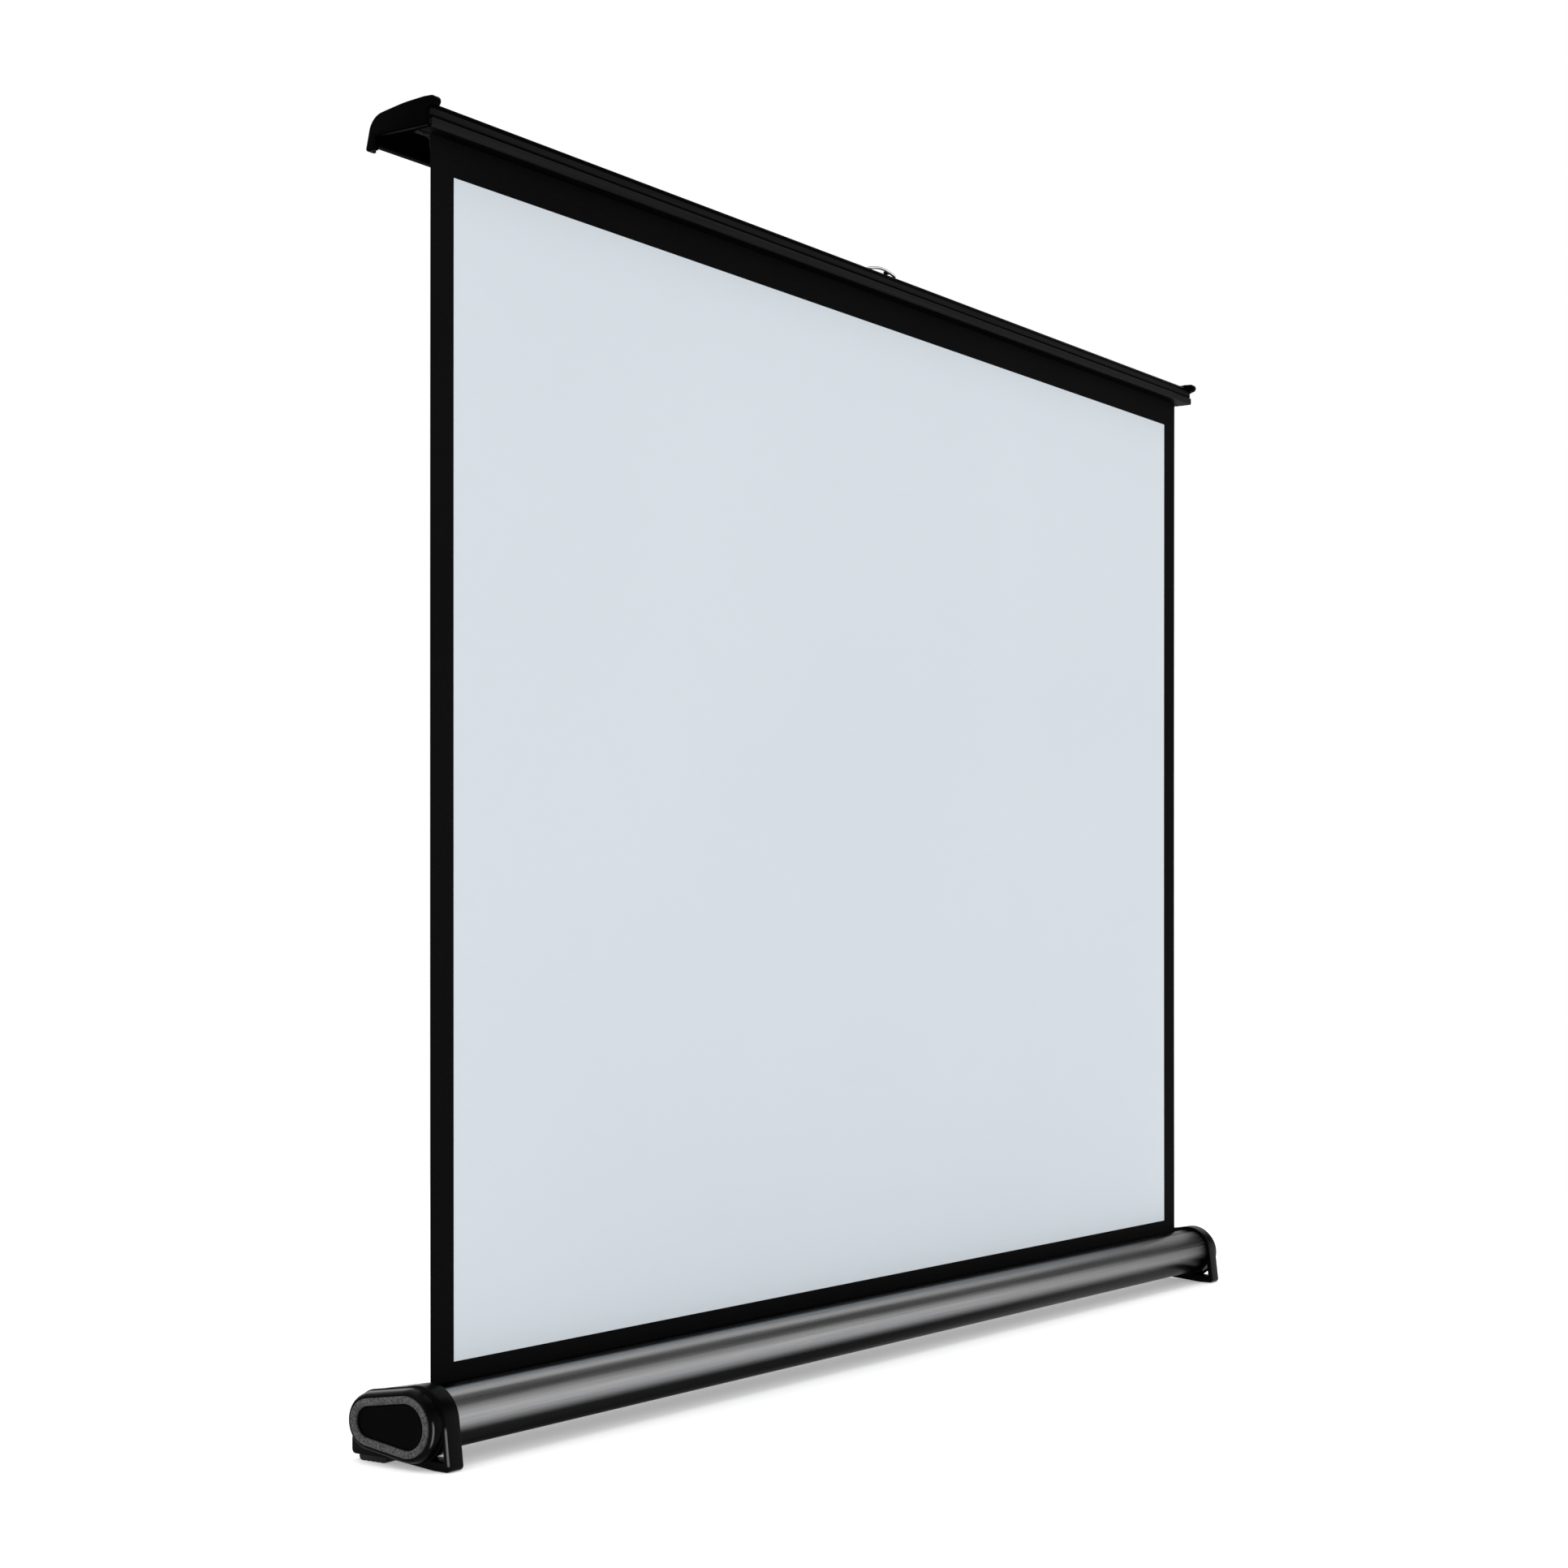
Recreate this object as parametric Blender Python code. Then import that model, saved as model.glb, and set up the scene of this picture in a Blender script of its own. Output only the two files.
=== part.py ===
# Tabletop projector screen: pull-up sheet, roller base, crossed folding arms, hooded top bar
import math

import bmesh
import bpy
import numpy as np
from mathutils import Matrix, Vector
from mathutils.geometry import tessellate_polygon

# Lengths in millimetres while shaping, turned to metres as meshes are made
mm = 0.001
# The fabric hangs in the plane Y = 0 while shaping, and all is moved back here at the end
depthShift = -5.6

# Screen sheet
fabricHalfWidth = 530.0
fabricThick = 0.3
fabricBottom = 29.7
fabricTop = 849.4

# Base tube and the tray behind it, as seen from the end
tubeY = -9.5
tubeZ = 29.2
tubeOuter = 20.5
tubeInner = 18.9
slotFront = -1.6
slotRear = 4.8
caseHalf = 538.7
floorLow = 11.0
floorTop = 12.6
wedgeRear = 10.6
wallOuter = 36.6
wallInner = 35.0
wallTop = 41.0
lipReach = 1.8
lipThick = 1.6
locatorY = 7.4
locatorZ = 14.6
locatorRadius = 1.9
screwHole = 1.8

# Base end caps
capInner = 539.0
capPlate = 553.0
capFace = 562.0
bulgeSwell = 4.0
bulgeRim = 1.1
spigotStart = 531.5
spigotRadius = 18.6
spigotWall = 2.0
hubStart = 534.6
hubRadius = 6.6
hubBore = 2.8
plugStart = 521.0
plugFront = 12.6
plugRear = 34.6
plugTop = 33.0
plugKnee = 24.0
plugWall = 2.0
capScrewX = 530.0
roundBody = 23.2
tailY = 24.5
tailZ = 27.2
tailRadius = 18.8
toeY = -36.3
strutWidth = 4.2
windowFloor = 6.4
heelY = 47.1
heelLow = 3.6
frontLobeY = -7.5
frontLobe = 19.6
rearLobeY = 24.0
rearLobe = 15.0
lobeZ = 27.2
ringWidth = 4.8
ringFace = 562.9
coverFace = 560.8
pocketFloor = 558.5
fitGap = 0.3
padFront = 17.5
padRear = 41.5
padInner = 541.0
padOuter = 551.9
padTop = 6.0

# Roller in the tube, with the spring that winds it and the turns of sheet that stay on it
rollerHalf = 531.0
rollerOuter = 8.1
rollerInner = 7.1
plugGrip = 6.8
plugFlange = 9.0
axleEnd = 544.5
rollerAxle = 2.5
springStart = 402.0
springLength = 110.0
springRadius = 4.8
springWire = 0.8
springTurns = 11
wrapStart = 8.4
wrapPitch = 0.34
wrapThick = 0.27
wrapTurns = 1.9

# Crossed arms: both are as long, pinned at the middle
armLength = 980.0
armHalfWide = 8.0
plateThick = 1.6
pinX = -490.0
basePinZ = 25.0
topPinZ = 846.7
frontWeb = (14.4, 16.0)
frontFlange = 18.4
rearWeb = (22.4, 24.0)
rearFlange = 20.0
pinRadius = 3.0
pinHead = 5.0
axleRadius = 2.0
axleHead = 4.0
axleCollar = 3.2
wheelRadius = 5.5
trackStart = 20.0
trackEnd = 520.0
trackThick = 1.2
bracketHalf = 26.0
earReach = 9.0

# Top bar
hoodHalf = 541.6
hoodWall = 1.8
hoodFront = -10.0
hoodTop = 862.6
hoodRear = 39.3
hoodLip = 840.8
grooveLow = 851.8
grooveHigh = 854.0
ledgeLow = 851.5
ledgeHigh = 853.1
railFront = -12.4
railLow = 846.0
railHook = 1.9
rodZ = 851.2
rodRadius = 1.5
hoodCapInner = 538.0
hoodCapFace = 544.5
rimProud = 3.0
bracketFoot = 856.3

# Handle on the top bar
bailHalf = 20.0
bailWire = 1.4
bailHingeY = 16.0
bailHingeZ = 864.4
bailFrontY = -4.0
bailCrown = 867.9

armAngle = math.asin((topPinZ - basePinZ) / armLength)
armSpread = armLength * math.cos(armAngle)

for old in list(bpy.data.objects):
    bpy.data.objects.remove(old)


def paint(name, colour, roughness, metallic):
    """A plain material of one colour."""
    made = bpy.data.materials.new(name)
    made.use_nodes = True
    shader = made.node_tree.nodes["Principled BSDF"]
    shader.inputs["Base Color"].default_value = (*colour, 1.0)
    shader.inputs["Roughness"].default_value = roughness
    shader.inputs["Metallic"].default_value = metallic
    made.diffuse_color = (*colour, 1.0)
    return made


caseMetal = paint("case_metal", (0.15, 0.15, 0.155), 0.38, 1.0)
hoodMetal = paint("hood_metal", (0.012, 0.012, 0.013), 0.35, 0.0)
railMetal = paint("rail_metal", (0.02, 0.02, 0.021), 0.5, 0.0)
capPlastic = paint("cap_plastic", (0.008, 0.008, 0.009), 0.22, 0.0)
coverPlastic = paint("cover_plastic", (0.005, 0.005, 0.005), 0.3, 0.0)
ringRubber = paint("ring_rubber", (0.07, 0.07, 0.072), 0.85, 0.0)
padRubber = paint("pad_rubber", (0.015, 0.015, 0.015), 0.9, 0.0)
armSteel = paint("arm_steel", (0.03, 0.03, 0.032), 0.45, 0.0)
zincSteel = paint("zinc_steel", (0.55, 0.56, 0.57), 0.35, 1.0)
wheelPlastic = paint("wheel_plastic", (0.75, 0.75, 0.72), 0.45, 0.0)
chromeSteel = paint("chrome_steel", (0.8, 0.8, 0.81), 0.1, 1.0)
rollerMetal = paint("roller_metal", (0.6, 0.6, 0.61), 0.35, 1.0)
springSteel = paint("spring_steel", (0.35, 0.35, 0.36), 0.35, 1.0)
screenCloth = paint("screen_cloth", (0.8, 0.82, 0.84), 0.85, 0.0)


def arc(centreU, centreV, radius, start, stop, steps):
    """Points on an arc, from one angle to the other in degrees."""
    angles = np.radians(np.linspace(start, stop, steps + 1))
    return [(centreU + radius * math.cos(a), centreV + radius * math.sin(a)) for a in angles]


def rounded(corners, steps=6):
    """A closed outline of (u, v, radius) corners, each turned into an arc of its radius."""
    points = []
    count = len(corners)
    for i, (u, v, radius) in enumerate(corners):
        here = Vector((u, v))
        if radius <= 0:
            points.append((u, v))
            continue
        before = (Vector(corners[i - 1][:2]) - here).normalized()
        after = (Vector(corners[(i + 1) % count][:2]) - here).normalized()
        half = before.angle(after) / 2
        reach = radius / math.tan(half)
        centre = here + (before + after).normalized() * (radius / math.sin(half))
        first = here + before * reach - centre
        last = here + after * reach - centre
        turn = first.angle_signed(last)
        for k in range(steps + 1):
            swing = Matrix.Rotation(-turn * k / steps, 2)
            spot = centre + swing @ first
            points.append((spot.x, spot.y))
    return points


def sharp(points):
    """The same points as corners of no radius."""
    return [(u, v, 0) for u, v in points]


def beside(path, gap):
    """The open path moved sideways by the gap, to the left of its direction."""
    line = np.array(path)
    along = np.gradient(line, axis=0)
    along /= np.linalg.norm(along, axis=1)[:, None]
    return [(u, v) for u, v in line + gap * np.stack([-along[:, 1], along[:, 0]], axis=1)]


def trimmed(loop):
    """The closed outline without points that repeat or lie on a straight run."""
    kept = []
    count = len(loop)
    for i in range(count):
        u, v = loop[i]
        if kept and math.hypot(u - kept[-1][0], v - kept[-1][1]) < 0.01:
            continue
        kept.append((u, v))
    if math.hypot(kept[0][0] - kept[-1][0], kept[0][1] - kept[-1][1]) < 0.01:
        kept.pop()
    clean = []
    count = len(kept)
    for i in range(count):
        a = kept[i - 1]
        b = kept[i]
        c = kept[(i + 1) % count]
        area = (b[0] - a[0]) * (c[1] - a[1]) - (b[1] - a[1]) * (c[0] - a[0])
        if abs(area) > 1e-4 * math.hypot(c[0] - a[0], c[1] - a[1]):
            clean.append(b)
    return clean


def place(axis, u, v, w):
    """The point with outline position (u, v) and height w along the axis."""
    if axis == "X":
        return (w, u, v)
    if axis == "Y":
        return (u, w, v)
    return (u, v, w)


def body(name, points, faces):
    """An object of these points in millimetres, with its faces turned outward."""
    shape = bmesh.new()
    spots = [shape.verts.new(Vector(p) * mm) for p in points]
    for face in faces:
        shape.faces.new([spots[i] for i in face])
    bmesh.ops.remove_doubles(shape, verts=shape.verts, dist=1e-6)
    bmesh.ops.recalc_face_normals(shape, faces=shape.faces)
    mesh = bpy.data.meshes.new(name)
    shape.to_mesh(mesh)
    shape.free()
    made = bpy.data.objects.new(name, mesh)
    bpy.context.scene.collection.objects.link(made)
    return made


def prism(name, axis, low, high, outline, holes=()):
    """An outline, with holes through it, carried along an axis."""
    loops = [trimmed(outline), *(trimmed(hole) for hole in holes)]
    flat = [p for loop in loops for p in loop]
    count = len(flat)
    points = [place(axis, u, v, low) for u, v in flat] + [place(axis, u, v, high) for u, v in flat]
    lids = tessellate_polygon([[Vector((u, v, 0)) for u, v in loop] for loop in loops])
    faces = [tuple(t) for t in lids] + [tuple(i + count for i in reversed(t)) for t in lids]
    start = 0
    for loop in loops:
        size = len(loop)
        for i in range(size):
            a = start + i
            b = start + (i + 1) % size
            faces.append((a, b, b + count, a + count))
        start += size
    return body(name, points, faces)


def lathe(name, axis, centre, profile, steps=32):
    """A closed profile of (height, radius) turned about an axis through the centre (u, v)."""
    points = []
    faces = []
    size = len(profile)
    for k in range(steps):
        turn = 2 * math.pi * k / steps
        for w, radius in profile:
            u = centre[0] + radius * math.cos(turn)
            v = centre[1] + radius * math.sin(turn)
            points.append(place(axis, u, v, w))
        for i in range(size):
            a = k * size + i
            b = k * size + (i + 1) % size
            c = ((k + 1) % steps) * size + (i + 1) % size
            d = ((k + 1) % steps) * size + i
            flat = profile[i][1] == 0 and profile[(i + 1) % size][1] == 0
            if not flat:
                faces.append((a, b, c, d))
    shape = bmesh.new()
    spots = [shape.verts.new(Vector(p) * mm) for p in points]
    for face in faces:
        shape.faces.new([spots[i] for i in face])
    bmesh.ops.remove_doubles(shape, verts=shape.verts, dist=1e-7)
    bmesh.ops.dissolve_degenerate(shape, edges=shape.edges, dist=1e-8)
    bmesh.ops.recalc_face_normals(shape, faces=shape.faces)
    mesh = bpy.data.meshes.new(name)
    shape.to_mesh(mesh)
    shape.free()
    made = bpy.data.objects.new(name, mesh)
    bpy.context.scene.collection.objects.link(made)
    return made


def wire(name, path, radius, sides=10):
    """A round wire along a path of points in millimetres, with flat ends."""
    line = [Vector(p) for p in path]
    points = []
    faces = []
    across = None
    for i, spot in enumerate(line):
        ahead = line[min(i + 1, len(line) - 1)] - line[max(i - 1, 0)]
        ahead.normalize()
        if across is None:
            across = ahead.orthogonal().normalized()
        across = (across - ahead * across.dot(ahead)).normalized()
        other = ahead.cross(across)
        for k in range(sides):
            turn = 2 * math.pi * k / sides
            points.append(spot + radius * (across * math.cos(turn) + other * math.sin(turn)))
    for i in range(len(line) - 1):
        for k in range(sides):
            a = i * sides + k
            b = i * sides + (k + 1) % sides
            faces.append((a, b, b + sides, a + sides))
    faces.append(tuple(range(sides)))
    last = (len(line) - 1) * sides
    faces.append(tuple(last + k for k in range(sides)))
    return body(name, points, faces)


def loft(name, sections):
    """Outlines of as many points at their own X, joined in turn and closed flat at both ends."""
    size = len(sections[0][1])
    points = [(x, u, v) for x, loop in sections for u, v in loop]
    faces = []
    for i in range(len(sections) - 1):
        for k in range(size):
            a = i * size + k
            b = i * size + (k + 1) % size
            faces.append((a, b, b + size, a + size))
    first = sections[0][1]
    last = sections[-1][1]
    shift = (len(sections) - 1) * size
    faces += [tuple(t) for t in tessellate_polygon([[Vector((u, v, 0)) for u, v in first]])]
    ends = tessellate_polygon([[Vector((u, v, 0)) for u, v in last]])
    faces += [tuple(i + shift for i in t) for t in ends]
    return body(name, points, faces)


def carve(target, tool, operation="DIFFERENCE"):
    """Cuts the tool from the target, or joins it, and clears the tool away."""
    step = target.modifiers.new("carve", "BOOLEAN")
    step.operation = operation
    step.solver = "EXACT"
    step.object = tool
    bpy.context.view_layer.update()
    graph = bpy.context.evaluated_depsgraph_get()
    shaped = bpy.data.meshes.new_from_object(target.evaluated_get(graph))
    target.modifiers.remove(step)
    target.data = shaped
    bpy.data.objects.remove(tool)
    return target


def mirrored(piece, name):
    """A copy of the piece on the other side of X = 0."""
    shape = bmesh.new()
    shape.from_mesh(piece.data)
    for spot in shape.verts:
        spot.co.x = -spot.co.x
    bmesh.ops.reverse_faces(shape, faces=shape.faces)
    mesh = bpy.data.meshes.new(name)
    shape.to_mesh(mesh)
    shape.free()
    made = bpy.data.objects.new(name, mesh)
    bpy.context.scene.collection.objects.link(made)
    return made


def dress(piece, name, look, crease=32):
    """Names the piece, gives it its material and smooth shading with crisp edges."""
    piece.name = name
    piece.data.name = name
    piece.data.materials.clear()
    piece.data.materials.append(look)
    piece.data.shade_smooth()
    piece.data.set_sharp_from_angle(angle=math.radians(crease))
    return piece


def drill(target, axis, centre, radius, low, high, steps=20):
    """A round hole through the target along an axis."""
    profile = [(low, 0), (low, radius), (high, radius), (high, 0)]
    return carve(target, lathe("drill", axis, centre, profile, steps))


# Base case: the roller tube with its slot, the wedge and the tray in one profile
def caseOutline():
    """The tube's outside, the tray's floor and rear wall, then the tube's inside."""
    turn = math.degrees
    outerFront = turn(math.acos((slotFront - tubeY) / tubeOuter))
    outerRear = turn(math.acos((slotRear - tubeY) / tubeOuter))
    innerFront = turn(math.acos((slotFront - tubeY) / tubeInner))
    innerRear = turn(math.acos((slotRear - tubeY) / tubeInner))
    floorMeet = 360 + turn(math.asin((floorLow - tubeZ) / tubeOuter))
    wedgeMeet = -turn(math.acos((wedgeRear - tubeY) / tubeOuter))
    tray = [
        (wallOuter, floorLow, 2.4),
        (wallOuter, wallTop, 0.9),
        (wallInner - lipReach, wallTop, 0.5),
        (wallInner - lipReach, wallTop - lipThick, 0.4),
        (wallInner, wallTop - lipThick, 0),
        (wallInner, floorTop, 1.2),
        (wedgeRear, floorTop, 0.8),
    ]
    outline = sharp(arc(tubeY, tubeZ, tubeOuter, outerFront, floorMeet, 34)) + tray
    outline += sharp(arc(tubeY, tubeZ, tubeOuter, wedgeMeet, outerRear, 9))
    outline += sharp(arc(tubeY, tubeZ, tubeInner, innerRear, innerFront - 360, 36))
    return rounded(outline, 3)


locatorHole = arc(locatorY, locatorZ, locatorRadius, 0, 330.0, 11)
baseCase = prism("base_case", "X", -caseHalf, caseHalf, caseOutline(), [locatorHole])

# Fixings that pass through the tray floor, as (x, y)
capScrewSpots = [(side * capScrewX, y) for side in (-1, 1) for y in (17.0, 29.0)]
bracketScrewSpots = [(pinX - 20.0, 15.3), (pinX + 20.0, 15.3)]
trackScrewSpots = [(x, 28.9) for x in (50.0, 270.0, 490.0)]
for spot in capScrewSpots + bracketScrewSpots + trackScrewSpots:
    drill(baseCase, "Z", spot, screwHole + 0.1, floorLow - 2.0, floorTop + 1.5, 8)
dress(baseCase, "base_case", caseMetal)


# Base end cap
def eggLoop(offset):
    """The egg outline round two lobes, moved outward by the offset."""
    apart = rearLobeY - frontLobeY
    meet = math.degrees(math.acos((frontLobe - rearLobe) / apart))
    loop = arc(rearLobeY, lobeZ, rearLobe + offset, -meet, meet, 13)
    loop += arc(frontLobeY, lobeZ, frontLobe + offset, meet, 360 - meet, 21)
    return loop


def capOutline():
    """Toe, straight strut, round body, tail and heel of the cap's plate."""
    across = tubeY - toeY
    reach = math.hypot(across, tubeZ)
    lean = math.atan2(tubeZ, across) + math.asin(roundBody / reach)
    strutMeet = math.degrees(lean) + 90
    between = math.hypot(tailY - tubeY, tailZ - tubeZ)
    tilt = math.degrees(math.atan2(tailZ - tubeZ, tailY - tubeY))
    tailMeet = tilt + math.degrees(math.acos((roundBody - tailRadius) / between))
    foot = [
        (heelY, 14.0, 5.0),
        (heelY, heelLow, 3.2),
        (16.0, heelLow, 6.0),
        (-23.0, 0.0, 14.0),
        (toeY, 0.0, 3.0),
    ]
    bodyArc = sharp(arc(tubeY, tubeZ, roundBody, strutMeet, tailMeet, 20))
    tail = sharp(arc(tailY, tailZ, tailRadius, tailMeet, 6.0, 14))
    return rounded(foot + bodyArc + tail, 4), lean


def windowLoop(lean):
    """The see-through corner between the round body, the strut and the foot bar."""
    inset = strutWidth / math.sin(lean)
    strutAt = toeY + inset + windowFloor / math.tan(lean)
    gap = roundBody - strutWidth
    meet = math.degrees(lean) + 90 + math.degrees(math.acos(gap / roundBody))
    floorMeet = 180 + math.degrees(math.asin((tubeZ - windowFloor) / roundBody))
    side = sharp(arc(tubeY, tubeZ, roundBody, meet, floorMeet, 8))
    return rounded([(strutAt, windowFloor, 0.9)] + side, 4)


def plugOutline(inset):
    """The cap's plug in the tray's end, or with an inset the room inside it."""
    low = floorTop + fitGap + inset
    corners = [
        (plugFront + inset, low, 1.0),
        (plugRear - inset, low, 1.0),
        (plugRear - inset, plugTop - inset, 2.2),
        (plugKnee + 0.3 * inset, plugTop - inset, 0),
        (plugFront + inset, plugKnee - 0.7 * inset, 1.6),
    ]
    return rounded(corners, 2)


def endCap(name):
    """The right-hand end cap, with its bulge, pocket, spigots and pad seat."""
    outline, lean = capOutline()
    cap = prism(name, "X", capInner, capPlate, outline, [windowLoop(lean)])
    bulgeFoot = capPlate + 0.6
    swell = [(capPlate - 1.0, bulgeSwell), (bulgeFoot, bulgeSwell)]
    for k in range(1, 5):
        turn = math.radians(90 * k / 4)
        x = bulgeFoot + (capFace - bulgeFoot) * math.sin(turn)
        swell.append((x, bulgeRim + (bulgeSwell - bulgeRim) * math.cos(turn)))
    sections = [(x, eggLoop(offset)) for x, offset in swell]
    sections.append((capFace, eggLoop(fitGap)))
    sections.append((pocketFloor, eggLoop(fitGap)))
    carve(cap, loft("bulge", sections), "UNION")
    centre = (tubeY, tubeZ)
    root = capInner + 0.5
    spigotInside = spigotRadius - spigotWall
    ring = [
        (spigotStart, spigotInside),
        (spigotStart, spigotRadius),
        (root, spigotRadius),
        (root, spigotInside),
    ]
    carve(cap, lathe("spigot", "X", centre, ring, 28), "UNION")
    hub = [(hubStart, 0), (hubStart, hubRadius - 0.8), (root, hubRadius), (root, 0)]
    carve(cap, lathe("hub", "X", centre, hub, 16), "UNION")
    carve(cap, prism("plug", "X", plugStart, root, plugOutline(0.0)), "UNION")
    pegRadius = locatorRadius - fitGap
    peg = [
        (capScrewX, 0),
        (capScrewX, pegRadius - 0.5),
        (capScrewX + 0.6, pegRadius),
        (root, pegRadius),
        (root, 0),
    ]
    carve(cap, lathe("peg", "X", (locatorY, locatorZ), peg, 10), "UNION")
    carve(cap, prism("hollow", "X", plugStart - 9.0, plugStart + 5.0, plugOutline(plugWall)))
    drill(cap, "X", centre, hubBore, plugStart, axleEnd + 1.5, 12)
    for x, y in capScrewSpots[2:]:
        drill(cap, "Z", (x, y), screwHole, floorTop - 1.0, 20.0, 8)
    seat = [
        (padInner - 0.4, padFront - fitGap, 0.4),
        (padOuter + 0.4, padFront - fitGap, 0.4),
        (padOuter + 0.4, padRear + fitGap, 0.4),
        (padInner - 0.4, padRear + fitGap, 0.4),
    ]
    carve(cap, prism("seat", "Z", -2.0, padTop + fitGap, rounded(seat, 2)))
    return cap


rightCap = endCap("end_cap_right")
dress(mirrored(rightCap, "end_cap_left"), "end_cap_left", capPlastic)
dress(rightCap, "end_cap_right", capPlastic)

# Ring and cover in each cap's pocket
ringSections = [
    (pocketFloor + fitGap, -ringWidth),
    (pocketFloor + fitGap, 0.0),
    (ringFace - 0.4, 0.0),
    (ringFace, -0.7),
    (ringFace, 0.9 - ringWidth),
    (ringFace - 0.7, -ringWidth),
]


def ringBody(name):
    """A closed band swept round the egg outline."""
    loops = [eggLoop(offset) for _, offset in ringSections]
    size = len(loops[0])
    rows = len(loops)
    points = [(x, *loops[i][k]) for i, (x, _) in enumerate(ringSections) for k in range(size)]
    faces = []
    for i in range(rows):
        j = (i + 1) % rows
        for k in range(size):
            m = (k + 1) % size
            faces.append((i * size + k, i * size + m, j * size + m, j * size + k))
    return body(name, points, faces)


rightRing = ringBody("cap_ring_right")
dress(mirrored(rightRing, "cap_ring_left"), "cap_ring_left", ringRubber)
dress(rightRing, "cap_ring_right", ringRubber)
inside = -ringWidth - fitGap
coverSections = [
    (pocketFloor + fitGap, eggLoop(inside)),
    (coverFace - 0.5, eggLoop(inside)),
    (coverFace, eggLoop(inside - 0.7)),
    (coverFace - 0.3, eggLoop(inside - 2.2)),
]
rightCover = loft("cap_cover_right", coverSections)
dress(mirrored(rightCover, "cap_cover_left"), "cap_cover_left", coverPlastic)
dress(rightCover, "cap_cover_right", coverPlastic)

# Rear foot pads
padCorners = [
    (padFront + 0.5, 0, 3.0),
    (padRear - 0.5, 0, 3.0),
    (padRear, padTop, 0),
    (padFront, padTop, 0),
]
rightPad = prism("foot_pad_right", "X", padInner, padOuter, rounded(padCorners, 4))
edges = rightPad.modifiers.new("soft", "BEVEL")
edges.width = 0.6 * mm
edges.segments = 1
edges.limit_method = "ANGLE"
bpy.context.view_layer.update()
softened = rightPad.evaluated_get(bpy.context.evaluated_depsgraph_get())
rightPad.data = bpy.data.meshes.new_from_object(softened)
rightPad.modifiers.clear()
dress(mirrored(rightPad, "foot_pad_left"), "foot_pad_left", padRubber)
dress(rightPad, "foot_pad_right", padRubber)


def screw(x, y, headLow, headHigh, shaftEnd, head=2.6, shaft=1.5):
    """An upright screw: a domed head between two heights, and a shaft to its end."""
    middle = (headLow + headHigh) / 2
    profile = [(headHigh, 0), (headHigh, head * 0.6), (middle, head * 0.94), (headLow, head)]
    profile += [(headLow, shaft), (shaftEnd, shaft), (shaftEnd, 0)]
    return lathe("screw", "Z", (x, y), profile, 10)


for count, (x, y) in enumerate(capScrewSpots, 1):
    dress(screw(x, y, floorLow - fitGap, floorLow - 2.0, 19.5), f"cap_screw_{count}", zincSteel)


# Brackets for the arms' fixed pins, and tracks for their wheels, on feet under or over them
def armBracket(name, front, rear, foot, footThick, pinZ, spots):
    """A folded plate: a wide foot, and two narrower ears that end round about the pin."""
    way = math.copysign(1.0, pinZ - foot)
    shelf = foot + way * footThick
    tip = pinZ + way * earReach
    fold = [
        (front, foot),
        (rear, foot),
        (rear, tip + way),
        (rear - plateThick, tip + way),
        (rear - plateThick, shelf),
        (front + plateThick, shelf),
        (front + plateThick, tip + way),
        (front, tip + way),
    ]
    made = prism(name, "X", pinX - bracketHalf, pinX + bracketHalf, fold)
    step = shelf + 0.1 * way
    ear = [
        (pinX - bracketHalf - 1.0, foot - way, 0),
        (pinX + bracketHalf + 1.0, foot - way, 0),
        (pinX + bracketHalf + 1.0, step, 0),
        (pinX + 12, step, 2.0),
        (pinX + 9, tip, 8.4),
        (pinX - 9, tip, 8.4),
        (pinX - 12, step, 2.0),
        (pinX - bracketHalf - 1.0, step, 0),
    ]
    carve(made, prism("ear", "Y", front - 1.0, rear + 1.0, rounded(ear, 4)), "INTERSECT")
    drill(made, "Y", (pinX, pinZ), pinRadius + fitGap, front - 1.0, rear + 1.0, 12)
    low, high = sorted((foot - way, shelf + way))
    for spot in spots:
        drill(made, "Z", spot, screwHole, low, high, 8)
    return dress(made, name, zincSteel)


def wheelTrack(name, mouth, back, foot, pinZ, spots):
    """A channel that is open at its mouth, with its back carried on to a foot."""
    way = math.copysign(1.0, pinZ - foot)
    face = back + math.copysign(trackThick, mouth - back)
    near = pinZ - way * (wheelRadius + 0.4)
    far = pinZ + way * (wheelRadius + 0.4)
    step = way * trackThick
    shape = [
        (mouth, foot, 0),
        (back, foot, 0.8),
        (back, far + step, 0.8),
        (mouth, far + step, 0),
        (mouth, far, 0),
        (face, far, 0.5),
        (face, near, 0.5),
        (mouth, near, 0),
        (mouth, near - step, 0),
        (face, near - step, 0.5),
        (face, foot + step, 0.5),
        (mouth, foot + step, 0),
    ]
    made = prism(name, "X", trackStart, trackEnd, rounded(shape, 3))
    low, high = sorted((foot - way, foot + step + way))
    for spot in spots:
        drill(made, "Z", spot, screwHole, low, high, 8)
    return dress(made, name, zincSteel)


floorSeat = floorTop + fitGap
armBracket("arm_bracket_base", 11.6, 19.0, floorSeat, plateThick, basePinZ, bracketScrewSpots)
for count, (x, y) in enumerate(bracketScrewSpots, 1):
    dress(screw(x, y, 14.8, 16.3, 9.8), f"base_bracket_screw_{count}", zincSteel)
wheelTrack("slide_track_base", 26.2, 32.6, floorSeat, basePinZ, trackScrewSpots)
for count, (x, y) in enumerate(trackScrewSpots, 1):
    dress(screw(x, y, 14.4, 15.7, 9.8, 2.2), f"base_track_screw_{count}", zincSteel)

# Buffers that stop each wheel when the sheet is fully up
wheelRest = pinX + armSpread
stopOutline = rounded([(26.6, 19.4, 0.8), (31.0, 19.4, 0.8), (31.0, 30.6, 0.8), (26.6, 30.6, 0.8)], 3)
baseStop = prism("track_stop_base", "X", trackStart + 1.5, wheelRest - wheelRadius - fitGap, stopOutline)
dress(baseStop, "track_stop_base", padRubber)

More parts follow.
